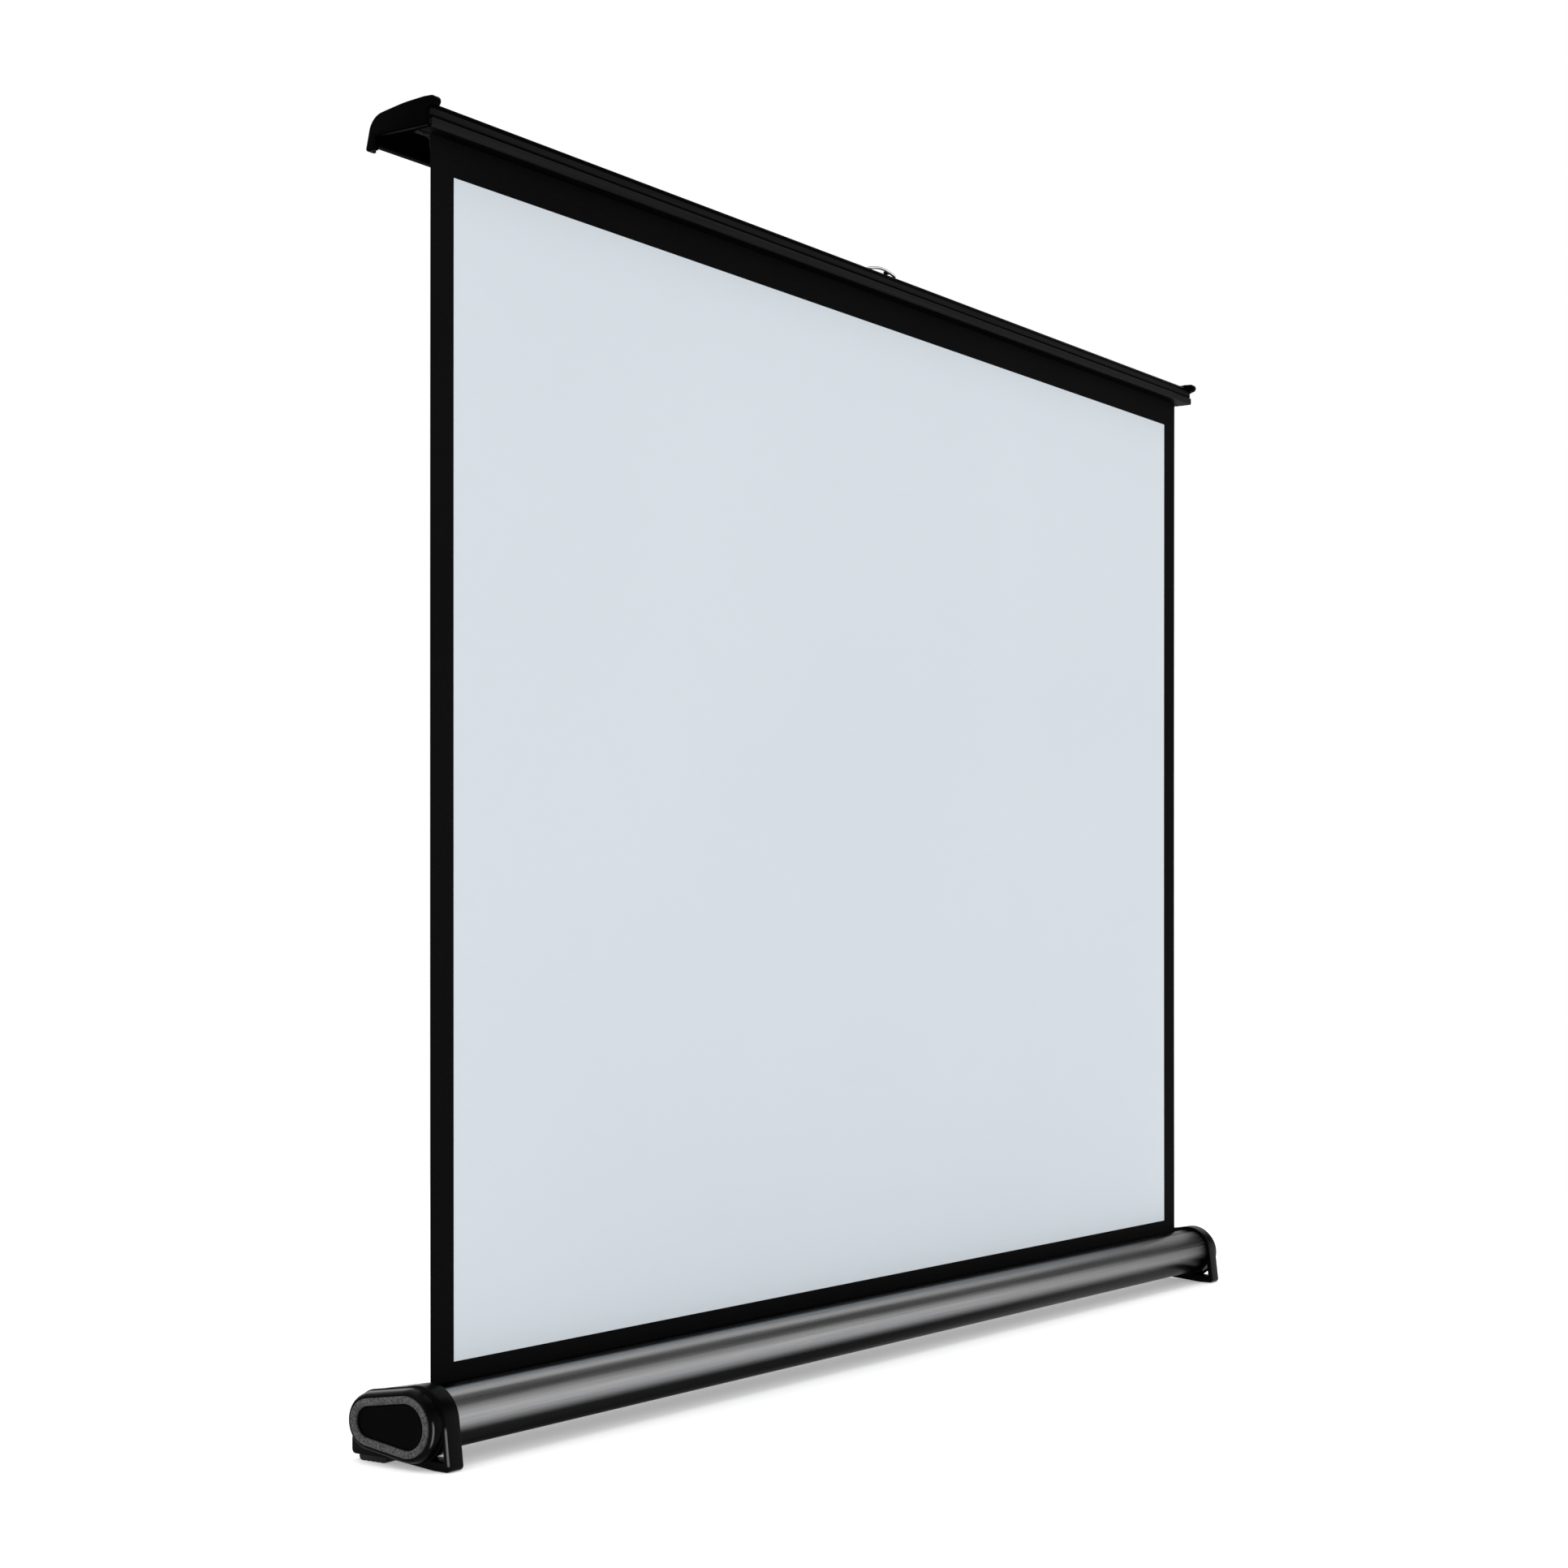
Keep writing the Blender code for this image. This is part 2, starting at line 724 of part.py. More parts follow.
# Roller inside the tube, with the last turns of the sheet and the spring that winds it
rollerCentre = (tubeY, tubeZ)
tubeRing = [
    (-rollerHalf, rollerInner),
    (-rollerHalf, rollerOuter),
    (rollerHalf, rollerOuter),
    (rollerHalf, rollerInner),
]
dress(lathe("roller_tube", "X", rollerCentre, tubeRing, 24), "roller_tube", rollerMetal)
plugShape = [
    (rollerHalf - 12.0, hubBore),
    (rollerHalf - 12.0, plugGrip - 0.6),
    (rollerHalf - 11.2, plugGrip),
    (rollerHalf + fitGap, plugGrip),
    (rollerHalf + fitGap, plugFlange),
    (rollerHalf + 2.3, plugFlange),
    (rollerHalf + 2.3, 5.0),
    (rollerHalf + 3.2, 4.6),
    (rollerHalf + 3.2, hubBore),
]
rightPlug = lathe("roller_plug_right", "X", rollerCentre, plugShape, 16)
dress(mirrored(rightPlug, "roller_plug_left"), "roller_plug_left", wheelPlastic)
dress(rightPlug, "roller_plug_right", wheelPlastic)
axleTip = rollerHalf - 14.8
axleShape = [
    (-axleEnd, 0),
    (-axleEnd, rollerAxle),
    (-axleTip - 0.8, rollerAxle),
    (-axleTip, rollerAxle - 0.8),
    (-axleTip, 0),
]
dress(lathe("roller_axle_left", "X", rollerCentre, axleShape, 12), "roller_axle_left", zincSteel)
arborTip = springStart - 5.0
arborShape = [
    (axleEnd, 0),
    (axleEnd, rollerAxle),
    (arborTip + 1.0, rollerAxle),
    (arborTip, rollerAxle - 1.0),
    (arborTip, 0),
]
dress(lathe("spring_arbor", "X", rollerCentre, arborShape, 12), "spring_arbor", zincSteel)
springSteps = 8
coil = []
for k in range(springTurns * springSteps + 1):
    swing = 2 * math.pi * k / springSteps
    along = springStart + springLength * k / (springTurns * springSteps)
    coil.append((along, tubeY + springRadius * math.cos(swing), tubeZ + springRadius * math.sin(swing)))
dress(wire("retract_spring", coil, springWire, 4), "retract_spring", springSteel)
wrapSteps = 36
wrapOuter = []
wrapInner = []
for k in range(wrapSteps + 1):
    swing = math.radians(360 * wrapTurns * k / wrapSteps)
    radius = wrapStart + wrapPitch * wrapTurns * k / wrapSteps
    wrapInner.append((tubeY + radius * math.cos(swing), tubeZ + radius * math.sin(swing)))
    outer = radius + wrapThick
    wrapOuter.append((tubeY + outer * math.cos(swing), tubeZ + outer * math.sin(swing)))
wraps = prism("fabric_wraps", "X", -fabricHalfWidth, fabricHalfWidth, wrapOuter + wrapInner[::-1])
dress(wraps, "fabric_wraps", screenCloth)

# Screen sheet, from the roller up into the clamp rail
half = fabricThick / 2
sheetOutline = [(-half, fabricBottom), (half, fabricBottom), (half, fabricTop), (-half, fabricTop)]
sheet = prism("screen_fabric", "X", -fabricHalfWidth, fabricHalfWidth, sheetOutline)
dress(sheet, "screen_fabric", screenCloth)


# Arms: a web with a turned-up flange along each edge, both rounded at the ends
def arm(name, web, flangeEdge, holes):
    """One arm along +X from its first pin, before it is turned to its slope."""
    outline = arc(0, 0, armHalfWide, 90, 270, 10) + arc(armLength, 0, armHalfWide, -90, 90, 10)
    loops = [arc(u, 0, radius, 0, 330.0, 11) for u, radius in holes]
    plate = prism(name, "Y", web[0], web[1], outline, loops)
    middle = (web[0] + web[1]) / 2
    for v in (-7.8, 6.2):
        fin = [(30, middle), (armLength - 30, middle), (armLength - 44, flangeEdge), (44, flangeEdge)]
        carve(plate, prism("fin", "Z", v, v + 1.6, fin), "UNION")
    return plate


def turnedTo(piece, angle, x, z):
    """The piece turned up by the angle about Y, with its first pin at (x, z)."""
    piece.data.transform(Matrix.Rotation(-angle, 4, "Y"))
    piece.data.transform(Matrix.Translation((x * mm, 0, z * mm)))
    return piece


pinHole = pinRadius + fitGap
axleHole = axleRadius + fitGap
frontHoles = [(0, pinHole), (armLength / 2, pinHole), (armLength, axleHole)]
frontArm = arm("arm_front", frontWeb, frontFlange, frontHoles)
turnedTo(frontArm, armAngle, pinX, basePinZ)
dress(frontArm, "arm_front", armSteel)
rearHoles = [(0, axleHole), (armLength / 2, pinHole), (armLength, pinHole)]
rearArm = arm("arm_rear", rearWeb, rearFlange, rearHoles)
turnedTo(rearArm, math.pi - armAngle, wheelRest, basePinZ)
dress(rearArm, "arm_rear", armSteel)
crossX = pinX + armSpread / 2
crossZ = (basePinZ + topPinZ) / 2

# Pins, spacer and wheels of the arms, all turned about Y
def headEnd(face, way):
    """A rivet's head from its rim at the face, out along the way and in to the axis."""
    brim = face + 0.7 * way
    crown = face + 1.1 * way
    return [(face, pinHead), (brim, pinHead), (crown, pinHead - 0.8), (crown, 0)]


def headedPin(name, spot, faces, heads):
    """A pin between two faces, with a head at those of its ends that are said to have one."""
    near, far = faces
    first = headEnd(near, -1.0)[::-1] if heads[0] else [(near, 0)]
    last = headEnd(far, 1.0) if heads[1] else [(far, 0)]
    profile = first + [(near, pinRadius), (far, pinRadius)] + last
    return dress(lathe(name, "Y", spot, profile, 14), name, zincSteel)


def rivetedAxle(name, spot, web, collar, end):
    """An axle riveted through an arm's web: head, neck, collar, then the wheel's journal."""
    way = math.copysign(1.0, end - web[0])
    head = web[0] - 1.2 * way
    profile = [
        (head, 0),
        (head, axleHead - 0.6),
        (head + 0.4 * way, axleHead),
        (web[0], axleHead),
        (web[0], axleRadius),
        (web[1], axleRadius),
        (web[1], axleCollar),
        (collar, axleCollar),
        (collar, axleRadius),
        (end, axleRadius),
        (end, 0),
    ]
    return dress(lathe(name, "Y", spot, profile, 12), name, zincSteel)


crossSpot = (crossX, crossZ)
frontSkin = (frontWeb[0] - fitGap, frontWeb[1] + fitGap)
rearSkin = (rearWeb[0] - fitGap, rearWeb[1] + fitGap)
headedPin("pin_base", (pinX, basePinZ), (11.8, 19.3), (False, True))
headedPin("pin_centre", crossSpot, (frontSkin[0], rearSkin[1]), (True, True))
headedPin("pin_top", (pinX, topPinZ), (18.6, 27.0), (True, False))
washer = (frontSkin[1], rearSkin[0])
spacer = [(washer[0], pinHole), (washer[0], 5.6), (washer[1], 5.6), (washer[1], pinHole)]
dress(lathe("centre_spacer", "Y", crossSpot, spacer, 16), "centre_spacer", wheelPlastic)
rivetedAxle("wheel_axle_rear", (wheelRest, basePinZ), rearSkin, 26.6, 30.9)
rivetedAxle("wheel_axle_front", (wheelRest, topPinZ), frontSkin[::-1], 13.3, 9.2)


def wheel(name, z, low, high):
    """A small wheel with a hollowed face on both sides."""
    rim = wheelRadius
    profile = [(low, 2.3), (low, 3.2), (low + 0.7, 3.5), (low + 0.7, 4.4), (low, 4.7), (low, rim)]
    profile += [(high, rim), (high, 4.7), (high - 0.7, 4.4), (high - 0.7, 3.5), (high, 3.2), (high, 2.3)]
    return dress(lathe(name, "Y", (wheelRest, z), profile, 20), name, wheelPlastic)


wheel("slide_wheel_base", basePinZ, 26.9, 30.6)
wheel("slide_wheel_top", topPinZ, 9.4, 13.0)


# Top bar: the hood's outer line from the front face, over the top and down the rear wall
def hoodLine():
    """The hood's outer line, front to rear."""
    corners = [
        (hoodFront, grooveHigh + 0.6, 0),
        (hoodFront, hoodTop, 2.6),
        (10.0, hoodTop - 1.3, 120.0),
        (hoodRear - 3.8, hoodTop - 5.2, 10.5),
        (hoodRear, hoodLip, 0),
    ]
    return rounded(corners, 8)


def hoodOutline():
    """Outer line, rear lip, inner line with its rib and ledges, and the front groove."""
    outer = hoodLine()
    inner = beside(outer, -hoodWall)
    wall = hoodFront + hoodWall
    ribFront = 5.9
    ribRear = 7.3
    ribTop = hoodTop - 3.0
    lowEdge = 848.2
    back = [p for p in inner if p[1] > hoodLip + 2.6 and p[0] > wall - 0.01]
    behindRib = [p for p in back if p[0] > ribRear + fitGap]
    beforeRib = [p for p in back if p[0] < ribFront - fitGap]
    outline = list(outer)
    outline += [(hoodRear - 5.5, hoodLip), (hoodRear - 5.5, hoodLip + hoodWall)]
    outline += [(hoodRear - 2.3, hoodLip + hoodWall)]
    outline += behindRib[::-1]
    outline += [(ribRear, ribTop), (ribRear, ledgeLow), (3.6, ledgeLow), (3.6, ledgeHigh)]
    outline += [(ribFront, ledgeHigh), (ribFront, ribTop + 0.1)]
    outline += beforeRib[::-1]
    outline += [(wall, ledgeHigh), (-6.5, ledgeHigh), (-6.5, ledgeLow), (wall, ledgeLow), (wall, lowEdge)]
    outline += [(hoodFront, lowEdge), (hoodFront, grooveLow - 0.6)]
    outline += [(hoodFront + 0.9, grooveLow), (hoodFront + 0.9, grooveHigh)]
    return outline


hood = prism("hood", "X", -hoodHalf, hoodHalf, hoodOutline())
topTrackSpots = [(x, 10.6) for x in (60.0, 275.0, 490.0)]
topBracketSpots = [(pinX - 20.0, 23.0), (pinX + 20.0, 23.0)]
for spot in topTrackSpots + topBracketSpots:
    drill(hood, "Z", spot, screwHole, hoodTop - 8.6, hoodTop + 3.4, 8)
dress(hood, "hood", hoodMetal)

# Clamp rail: hooks round the hood's front wall and grips the sheet's rod
flangeLow = ledgeHigh + fitGap
flangeHigh = flangeLow + plateThick
hookTop = 852.0
railCorners = [(railFront, railLow, 1.0), (-0.6, railLow, 0.3)]
railCorners += sharp(arc(0, rodZ, railHook, 251.6, -71.6, 20))
railCorners += [
    (0.6, railLow, 0.3),
    (3.2, railLow, 0.4),
    (3.2, flangeLow, 0),
    (5.5, flangeLow, 0),
    (5.5, flangeHigh, 0),
    (-7.9, flangeHigh, 0),
    (-7.9, flangeLow, 0),
    (-6.2, flangeLow, 0),
    (-6.2, railLow + railHook, 0),
    (hoodFront - fitGap, railLow + railHook, 0),
    (hoodFront - fitGap, hookTop, 0.4),
    (railFront, hookTop, 0.9),
]
railOutline = rounded(railCorners, 3)
rail = prism("clamp_rail", "X", -hoodHalf + 0.6, hoodHalf - 0.6, railOutline)
dress(rail, "clamp_rail", railMetal)
rodShape = [
    (-fabricHalfWidth, 0),
    (-fabricHalfWidth, rodRadius),
    (fabricHalfWidth, rodRadius),
    (fabricHalfWidth, 0),
]
dress(lathe("fabric_rod", "X", (0.0, rodZ), rodShape, 14), "fabric_rod", zincSteel)


# Hood end caps: a rim standing proud of the hood, a nose in front and a plug inside
def hoodCap(name):
    """The right-hand hood cap."""
    line = hoodLine()
    rim = [p for p in beside(line, rimProud) if p[1] > 848.0 and p[0] > -8.6]
    nose = arc(-12.9, 861.7, 3.3, 262, 100, 9)
    corners = [(-9.7, 846.8, 0), (-9.7, 857.2, 0)] + sharp(nose) + sharp(rim)
    corners += [(42.9, 839.4, 1.2), (41.8, 838.2, 0.8), (34.0, 838.2, 0.6), (34.0, 846.8, 1.0)]
    cap = prism(name, "X", hoodCapInner, hoodCapFace, rounded(corners, 4))
    wrap = beside(line, fitGap)
    nick = 858.3
    below = hoodLip - 10.0
    room = [(hoodFront - 20.0, below), (hoodFront - 20.0, nick), (hoodFront - 2.0, nick)]
    room += [p for p in wrap if p[1] > nick + 0.1 or p[0] > hoodRear / 2]
    room += [(wrap[-1][0] + 0.35, below)]
    carve(cap, prism("room", "X", hoodCapInner - 3.0, hoodHalf + fitGap, room))
    plugOuter = [p for p in beside(line, -hoodWall - fitGap) if p[0] > 14.0 and p[1] > 846.0]
    plugInner = [p for p in beside(line, -hoodWall - 2.2) if p[0] > 14.0 and p[1] > 846.0]
    plug = plugOuter + plugInner[::-1]
    carve(cap, prism("plug", "X", 530.0, hoodHalf + 1.2, plug), "UNION")
    return cap


rightHoodCap = hoodCap("hood_cap_right")
dress(mirrored(rightHoodCap, "hood_cap_left"), "hood_cap_left", capPlastic)
dress(rightHoodCap, "hood_cap_right", capPlastic)

# Top bracket, pinned to the rear arm, and the top track for the front arm's wheel
armBracket("arm_bracket_top", 18.9, 27.2, bracketFoot, trackThick, topPinZ, topBracketSpots)
wheelTrack("slide_track_top", 13.5, 7.7, bracketFoot + 2.2, topPinZ, topTrackSpots)
stopOutline = rounded([(9.3, 841.1, 0.8), (13.2, 841.1, 0.8), (13.2, 852.3, 0.8), (9.3, 852.3, 0.8)], 3)
topStop = prism("track_stop_top", "X", trackStart + 1.5, wheelRest - wheelRadius - fitGap, stopOutline)
dress(topStop, "track_stop_top", padRubber)
topScrews = [screw(x, y, 861.9, 863.3, 857.4, 2.4) for x, y in topTrackSpots]
topScrews += [screw(x, y, 860.1, 861.5, bracketFoot - 1.4, 2.4) for x, y in topBracketSpots]
for count, piece in enumerate(topScrews, 1):
    dress(piece, f"hood_screw_{count}", railMetal)

# Handle: a chromed bail hinged in two lugs, lying forward with its bar bowed up
bail = [
    (-bailHalf - 6.2, bailHingeY, bailHingeZ),
    (-bailHalf - 3.0, bailHingeY, bailHingeZ),
    (-bailHalf - 1.0, bailHingeY - 0.6, bailHingeZ),
    (-bailHalf - 0.2, bailHingeY - 2.4, bailHingeZ),
    (-bailHalf, bailHingeY - 5.0, bailHingeZ),
    (-bailHalf, bailFrontY + 5.0, bailHingeZ + 0.4),
    (-bailHalf + 0.5, bailFrontY + 2.0, bailHingeZ + 0.5),
    (-bailHalf + 2.2, bailFrontY + 0.4, bailHingeZ + 0.8),
]
bowSteps = 10
for k in range(bowSteps + 1):
    across = -bailHalf + 4.5 + (2 * bailHalf - 9.0) * k / bowSteps
    rise = math.cos(math.pi / 2 * across / bailHalf)
    bail.append((across, bailFrontY, bailHingeZ + 0.2 + (bailCrown - bailHingeZ - 0.2) * rise))
bail += [(-x, y, z) for x, y, z in bail[:8][::-1]]
dress(wire("handle_bail", bail, bailWire, 8), "handle_bail", chromeSteel, 60)


def lug(name, side):
    """A low block on the hood that holds one end of the bail."""
    corners = [
        (bailHingeY - 4.2, 861.55, 0),
        (bailHingeY + 4.4, 860.45, 0),
        (bailHingeY + 3.4, 865.6, 1.8),
        (bailHingeY + 0.6, 867.0, 2.4),
        (bailHingeY - 3.0, 866.0, 1.8),
    ]
    near, far = sorted((side * (bailHalf + 2.6), side * (bailHalf + 8.6)))
    block = prism(name, "X", near, far, rounded(corners, 5))
    mouth, end = sorted((side * (bailHalf + 1.0), side * (bailHalf + 6.8)))
    drill(block, "X", (bailHingeY, bailHingeZ), bailWire + fitGap, mouth, end, 16)
    return dress(block, name, capPlastic)


lug("handle_lug_left", -1)
lug("handle_lug_right", 1)
restOutline = rounded([(-9.0, 862.9, 0.3), (-6.0, 862.8, 0.3), (-6.0, 864.9, 0.8), (-9.0, 865.0, 1.2)], 3)
dress(prism("handle_rest", "X", -2.5, 2.5, restOutline), "handle_rest", capPlastic)

# Moving pieces hang from empties on their joint axes
frontPieces = ["arm_front", "pin_centre", "centre_spacer", "wheel_axle_front"]
rollerPieces = ["roller_tube", "roller_plug_left", "roller_plug_right", "fabric_wraps"]
axes = {
    "axis_front_arm": ((pinX, 15.2, basePinZ), frontPieces),
    "axis_rear_arm": ((crossX, 23.2, crossZ), ["arm_rear", "wheel_axle_rear"]),
    "axis_top_bar": (
        (pinX, 23.2, topPinZ),
        [
            "hood",
            "hood_cap_left",
            "hood_cap_right",
            "clamp_rail",
            "fabric_rod",
            "arm_bracket_top",
            "pin_top",
            "slide_track_top",
            "track_stop_top",
            *(f"hood_screw_{count}" for count in range(1, 6)),
            "handle_lug_left",
            "handle_lug_right",
            "handle_rest",
        ],
    ),
    "axis_handle": ((0.0, bailHingeY, bailHingeZ), ["handle_bail"]),
    "axis_wheel_base": ((wheelRest, 28.7, basePinZ), ["slide_wheel_base"]),
    "axis_wheel_top": ((wheelRest, 11.2, topPinZ), ["slide_wheel_top"]),
    "axis_roller": ((0.0, tubeY, tubeZ), rollerPieces),
}
for label, (spot, names) in axes.items():
    hinge = bpy.data.objects.new(label, None)
    hinge.location = Vector(spot) * mm
    bpy.context.scene.collection.objects.link(hinge)
    bpy.context.view_layer.update()
    for name in names:
        piece = bpy.data.objects[name]
        piece.parent = hinge
        piece.matrix_parent_inverse = hinge.matrix_world.inverted()

for piece in bpy.data.objects:
    if piece.parent is None:
        piece.location.y += depthShift * mm
bpy.context.view_layer.update()
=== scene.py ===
import math

import bmesh
import bpy
import numpy as np
from mathutils import Matrix, Vector
from mathutils.geometry import tessellate_polygon


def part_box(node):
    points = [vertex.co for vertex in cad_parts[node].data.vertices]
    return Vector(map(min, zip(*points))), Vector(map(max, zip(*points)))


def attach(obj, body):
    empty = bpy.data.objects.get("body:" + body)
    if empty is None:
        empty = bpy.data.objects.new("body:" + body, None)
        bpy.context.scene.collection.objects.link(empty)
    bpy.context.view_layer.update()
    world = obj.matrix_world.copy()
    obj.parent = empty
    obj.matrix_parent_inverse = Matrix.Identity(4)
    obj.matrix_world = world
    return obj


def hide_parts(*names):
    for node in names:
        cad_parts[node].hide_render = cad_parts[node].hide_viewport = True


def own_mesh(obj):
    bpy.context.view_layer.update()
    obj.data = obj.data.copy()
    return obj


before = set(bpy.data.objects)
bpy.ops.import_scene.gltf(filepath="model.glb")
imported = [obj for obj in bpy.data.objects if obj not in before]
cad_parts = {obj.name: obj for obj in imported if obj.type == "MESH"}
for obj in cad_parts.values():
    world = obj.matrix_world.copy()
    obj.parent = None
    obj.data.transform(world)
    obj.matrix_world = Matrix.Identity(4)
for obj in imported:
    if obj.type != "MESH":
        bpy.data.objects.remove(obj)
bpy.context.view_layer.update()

# Tabletop projector screen: looks for every piece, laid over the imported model
# Shapes are worked out in millimetres, with y from the fabric's plane, and become metres in rawPiece
mm = 0.001
sameSpot = 0.004  # points of an outline closer than this, in mm, are one
straight = 1e-5  # sine of a bend that counts as none
quarter = math.pi / 2
fullTurn = 2 * math.pi


def boxOf(node):
    # lowest and highest corner of a node in millimetres
    low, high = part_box(node)
    return np.array(low) / mm, np.array(high) / mm


sheetLow, sheetHigh = boxOf("screen_fabric")
planeY = (sheetLow[1] + sheetHigh[1]) / 2
rollerLow, rollerHigh = boxOf("roller_tube")
tubeCentre = np.array([(rollerLow[1] + rollerHigh[1]) / 2 - planeY, (rollerLow[2] + rollerHigh[2]) / 2])
caseLow, caseHigh = boxOf("base_case")
hoodLow, hoodHigh = boxOf("hood")
railLow, railHigh = boxOf("clamp_rail")


# Outlines: arrays of (u, v) points
def arcOf(centre, radius, start, stop, steps):
    # centre plus radius times (cos t, sin t), with t in degrees from start to stop
    t = np.radians(np.linspace(start, stop, steps + 1))
    return np.asarray(centre, float) + radius * np.stack([np.cos(t), np.sin(t)], axis=1)


def sharpCorners(points):
    # the same points as corners without a radius
    return [(u, v, 0.0) for u, v in points]


def cornerArc(before, corner, after, steps):
    # the arc that touches the two lines that meet at a corner (u, v, radius): its centre lies
    # radius / sin(half the angle between them) from the corner, along their middle line
    here = Vector(corner[:2])
    radius = corner[2]
    if radius <= 0:
        return [tuple(here)]
    back = (Vector(before[:2]) - here).normalized()
    ahead = (Vector(after[:2]) - here).normalized()
    half = back.angle(ahead) / 2
    centre = here + (back + ahead).normalized() * (radius / math.sin(half))
    first = here + back * (radius / math.tan(half)) - centre
    last = here + ahead * (radius / math.tan(half)) - centre
    start = math.degrees(math.atan2(first.y, first.x))
    return arcOf(centre, radius, start, start - math.degrees(first.angle_signed(last)), steps).tolist()


def softCorners(corners, steps):
    # a closed outline whose corners (u, v, radius) are turned into arcs
    count = len(corners)
    arcs = [cornerArc(corners[i - 1], corners[i], corners[(i + 1) % count], steps) for i in range(count)]
    return cleaned(sum(arcs, []))


def roundedBox(lowU, lowV, highU, highV, radius, steps):
    # a rectangle between two opposite corners, all four rounded alike
    corners = [(lowU, lowV), (highU, lowV), (highU, highV), (lowU, highV)]
    return softCorners([(u, v, radius) for u, v in corners], steps)


def unit(rows):
    # each row over its own length
    return rows / np.linalg.norm(rows, axis=1)[:, None]


def sidesOf(loop):
    # the steps that lead to each point of a closed loop and on from it
    return loop - np.roll(loop, 1, axis=0), np.roll(loop, -1, axis=0) - loop


def crossOf(first, second):
    # u1 v2 - v1 u2 for each pair of rows
    return first[:, 0] * second[:, 1] - first[:, 1] * second[:, 0]


def cleaned(loop):
    # drops points that repeat or lie on a straight run, and turns the loop anticlockwise
    loop = np.asarray(loop, float)
    loop = loop[np.linalg.norm(sidesOf(loop)[0], axis=1) > sameSpot]
    before, after = (unit(side) for side in sidesOf(loop))
    loop = loop[np.abs(crossOf(before, after)) > straight]
    area = np.sum(crossOf(loop, np.roll(loop, -1, axis=0)))
    return loop if area > 0 else loop[::-1]


def grown(loop, gap):
    # each point of an anticlockwise loop moves outward along the mean normal of its two sides, by the gap
    # over the cosine between that normal and a side's own, which counts as no less than 0.45
    before, after = (unit(side) for side in sidesOf(loop))
    mean = unit(np.stack([before[:, 1] + after[:, 1], -before[:, 0] - after[:, 0]], axis=1))
    share = np.maximum(np.abs(crossOf(mean, after)), 0.45)
    return loop + gap * mean / share[:, None]


def lineBeside(path, gap):
    # an open path moved sideways by the gap, to the left of its direction
    along = unit(np.gradient(path, axis=0))
    return path + gap * np.stack([-along[:, 1], along[:, 0]], axis=1)


# Solids: (points, faces), with points in millimetres
def onAxis(axis, u, v, w):
    # points (u, v) at a height w along the axis, as rows of x, y, z
    return np.stack({"X": (w, u, v), "Y": (u, w, v), "Z": (u, v, w)}[axis], axis=-1).reshape(-1, 3)


def placed(axis, loop, height):
    # a whole outline at one height along the axis
    return onAxis(axis, loop[:, 0], loop[:, 1], np.full(len(loop), float(height)))


def gridFaces(rows, columns, around=True, closed=False):
    # quads between neighbouring points of a grid, wrapped across the columns and, if closed, the rows
    i = np.arange(rows if closed else rows - 1)[:, None]
    k = np.arange(columns if around else columns - 1)[None, :]
    j = (i + 1) % rows
    m = (k + 1) % columns
    quads = np.stack([i * columns + k, i * columns + m, j * columns + m, j * columns + k], axis=-1)
    return quads.reshape(-1, 4).tolist()


def lidFaces(loops, start=0):
    # triangles that fill an outline and leave out its holes
    flat = tessellate_polygon([[Vector((u, v, 0)) for u, v in loop] for loop in loops])
    return [tuple(i + start for i in t) for t in flat]


def rimSections(low, high, rims, steps):
    # heights and insets of a quarter-round rim at both ends: inset r(1 - sin t), height r(1 - cos t)
    sections = []
    for end, way, rim in ((low, 1, rims[0]), (high, -1, rims[1])):
        t = np.linspace(0, quarter, steps + 1) if rim > 0 else np.array([quarter])
        part = [(end + way * rim * (1 - math.cos(a)), rim * (1 - math.sin(a))) for a in t]
        sections += part if way > 0 else part[::-1]
    return sections


def slab(axis, low, high, outline, holes=(), rims=(0, 0), steps=3):
    # an outline with holes carried along an axis; at a rounded rim the outline shrinks by the section's
    # inset and the holes grow by it
    loops = [cleaned(outline)] + [cleaned(hole) for hole in holes]
    sections = rimSections(low, high, rims, steps)
    levels = [[grown(loop, inset if i else -inset) for i, loop in enumerate(loops)] for _, inset in sections]
    points = [placed(axis, loop, height) for (height, _), level in zip(sections, levels) for loop in level]
    faces = []
    size = sum(len(loop) for loop in loops)
    start = 0
    for loop in loops:
        own = np.array(gridFaces(len(sections), len(loop)))
        faces += (own % len(loop) + (own // len(loop)) * size + start).tolist()
        start += len(loop)
    faces += lidFaces(levels[0]) + lidFaces(levels[-1], (len(sections) - 1) * size)
    return np.concatenate(points), faces


def turnedSolid(axis, centre, profile, steps):
    # a profile of (height, radius) turned about an axis through the centre: u = cu + r cos t and
    # v = cv + r sin t
    profile = np.asarray(profile, float)
    ringShaped = profile[0, 1] > 0
    t = fullTurn * np.arange(steps)[:, None] / steps
    u = centre[0] + profile[None, :, 1] * np.cos(t)
    v = centre[1] + profile[None, :, 1] * np.sin(t)
    w = np.broadcast_to(profile[None, :, 0], u.shape)
    return onAxis(axis, u, v, w), gridFaces(steps, len(profile), around=ringShaped, closed=True)


def roundBar(axis, spot, radius, low, high, steps=24):
    # a plain round bar from low to high, to drill with
    return turnedSolid(axis, spot, [(low, 0), (low, radius), (high, radius), (high, 0)], steps)


def stacked(axis, sections):
    # outlines of equal length at their own heights, joined point to point and closed at both ends
    size = len(sections[0][1])
    points = np.concatenate([placed(axis, loop, height) for height, loop in sections])
    lids = lidFaces([sections[0][1]]) + lidFaces([sections[-1][1]], (len(sections) - 1) * size)
    return points, gridFaces(len(sections), size) + lids


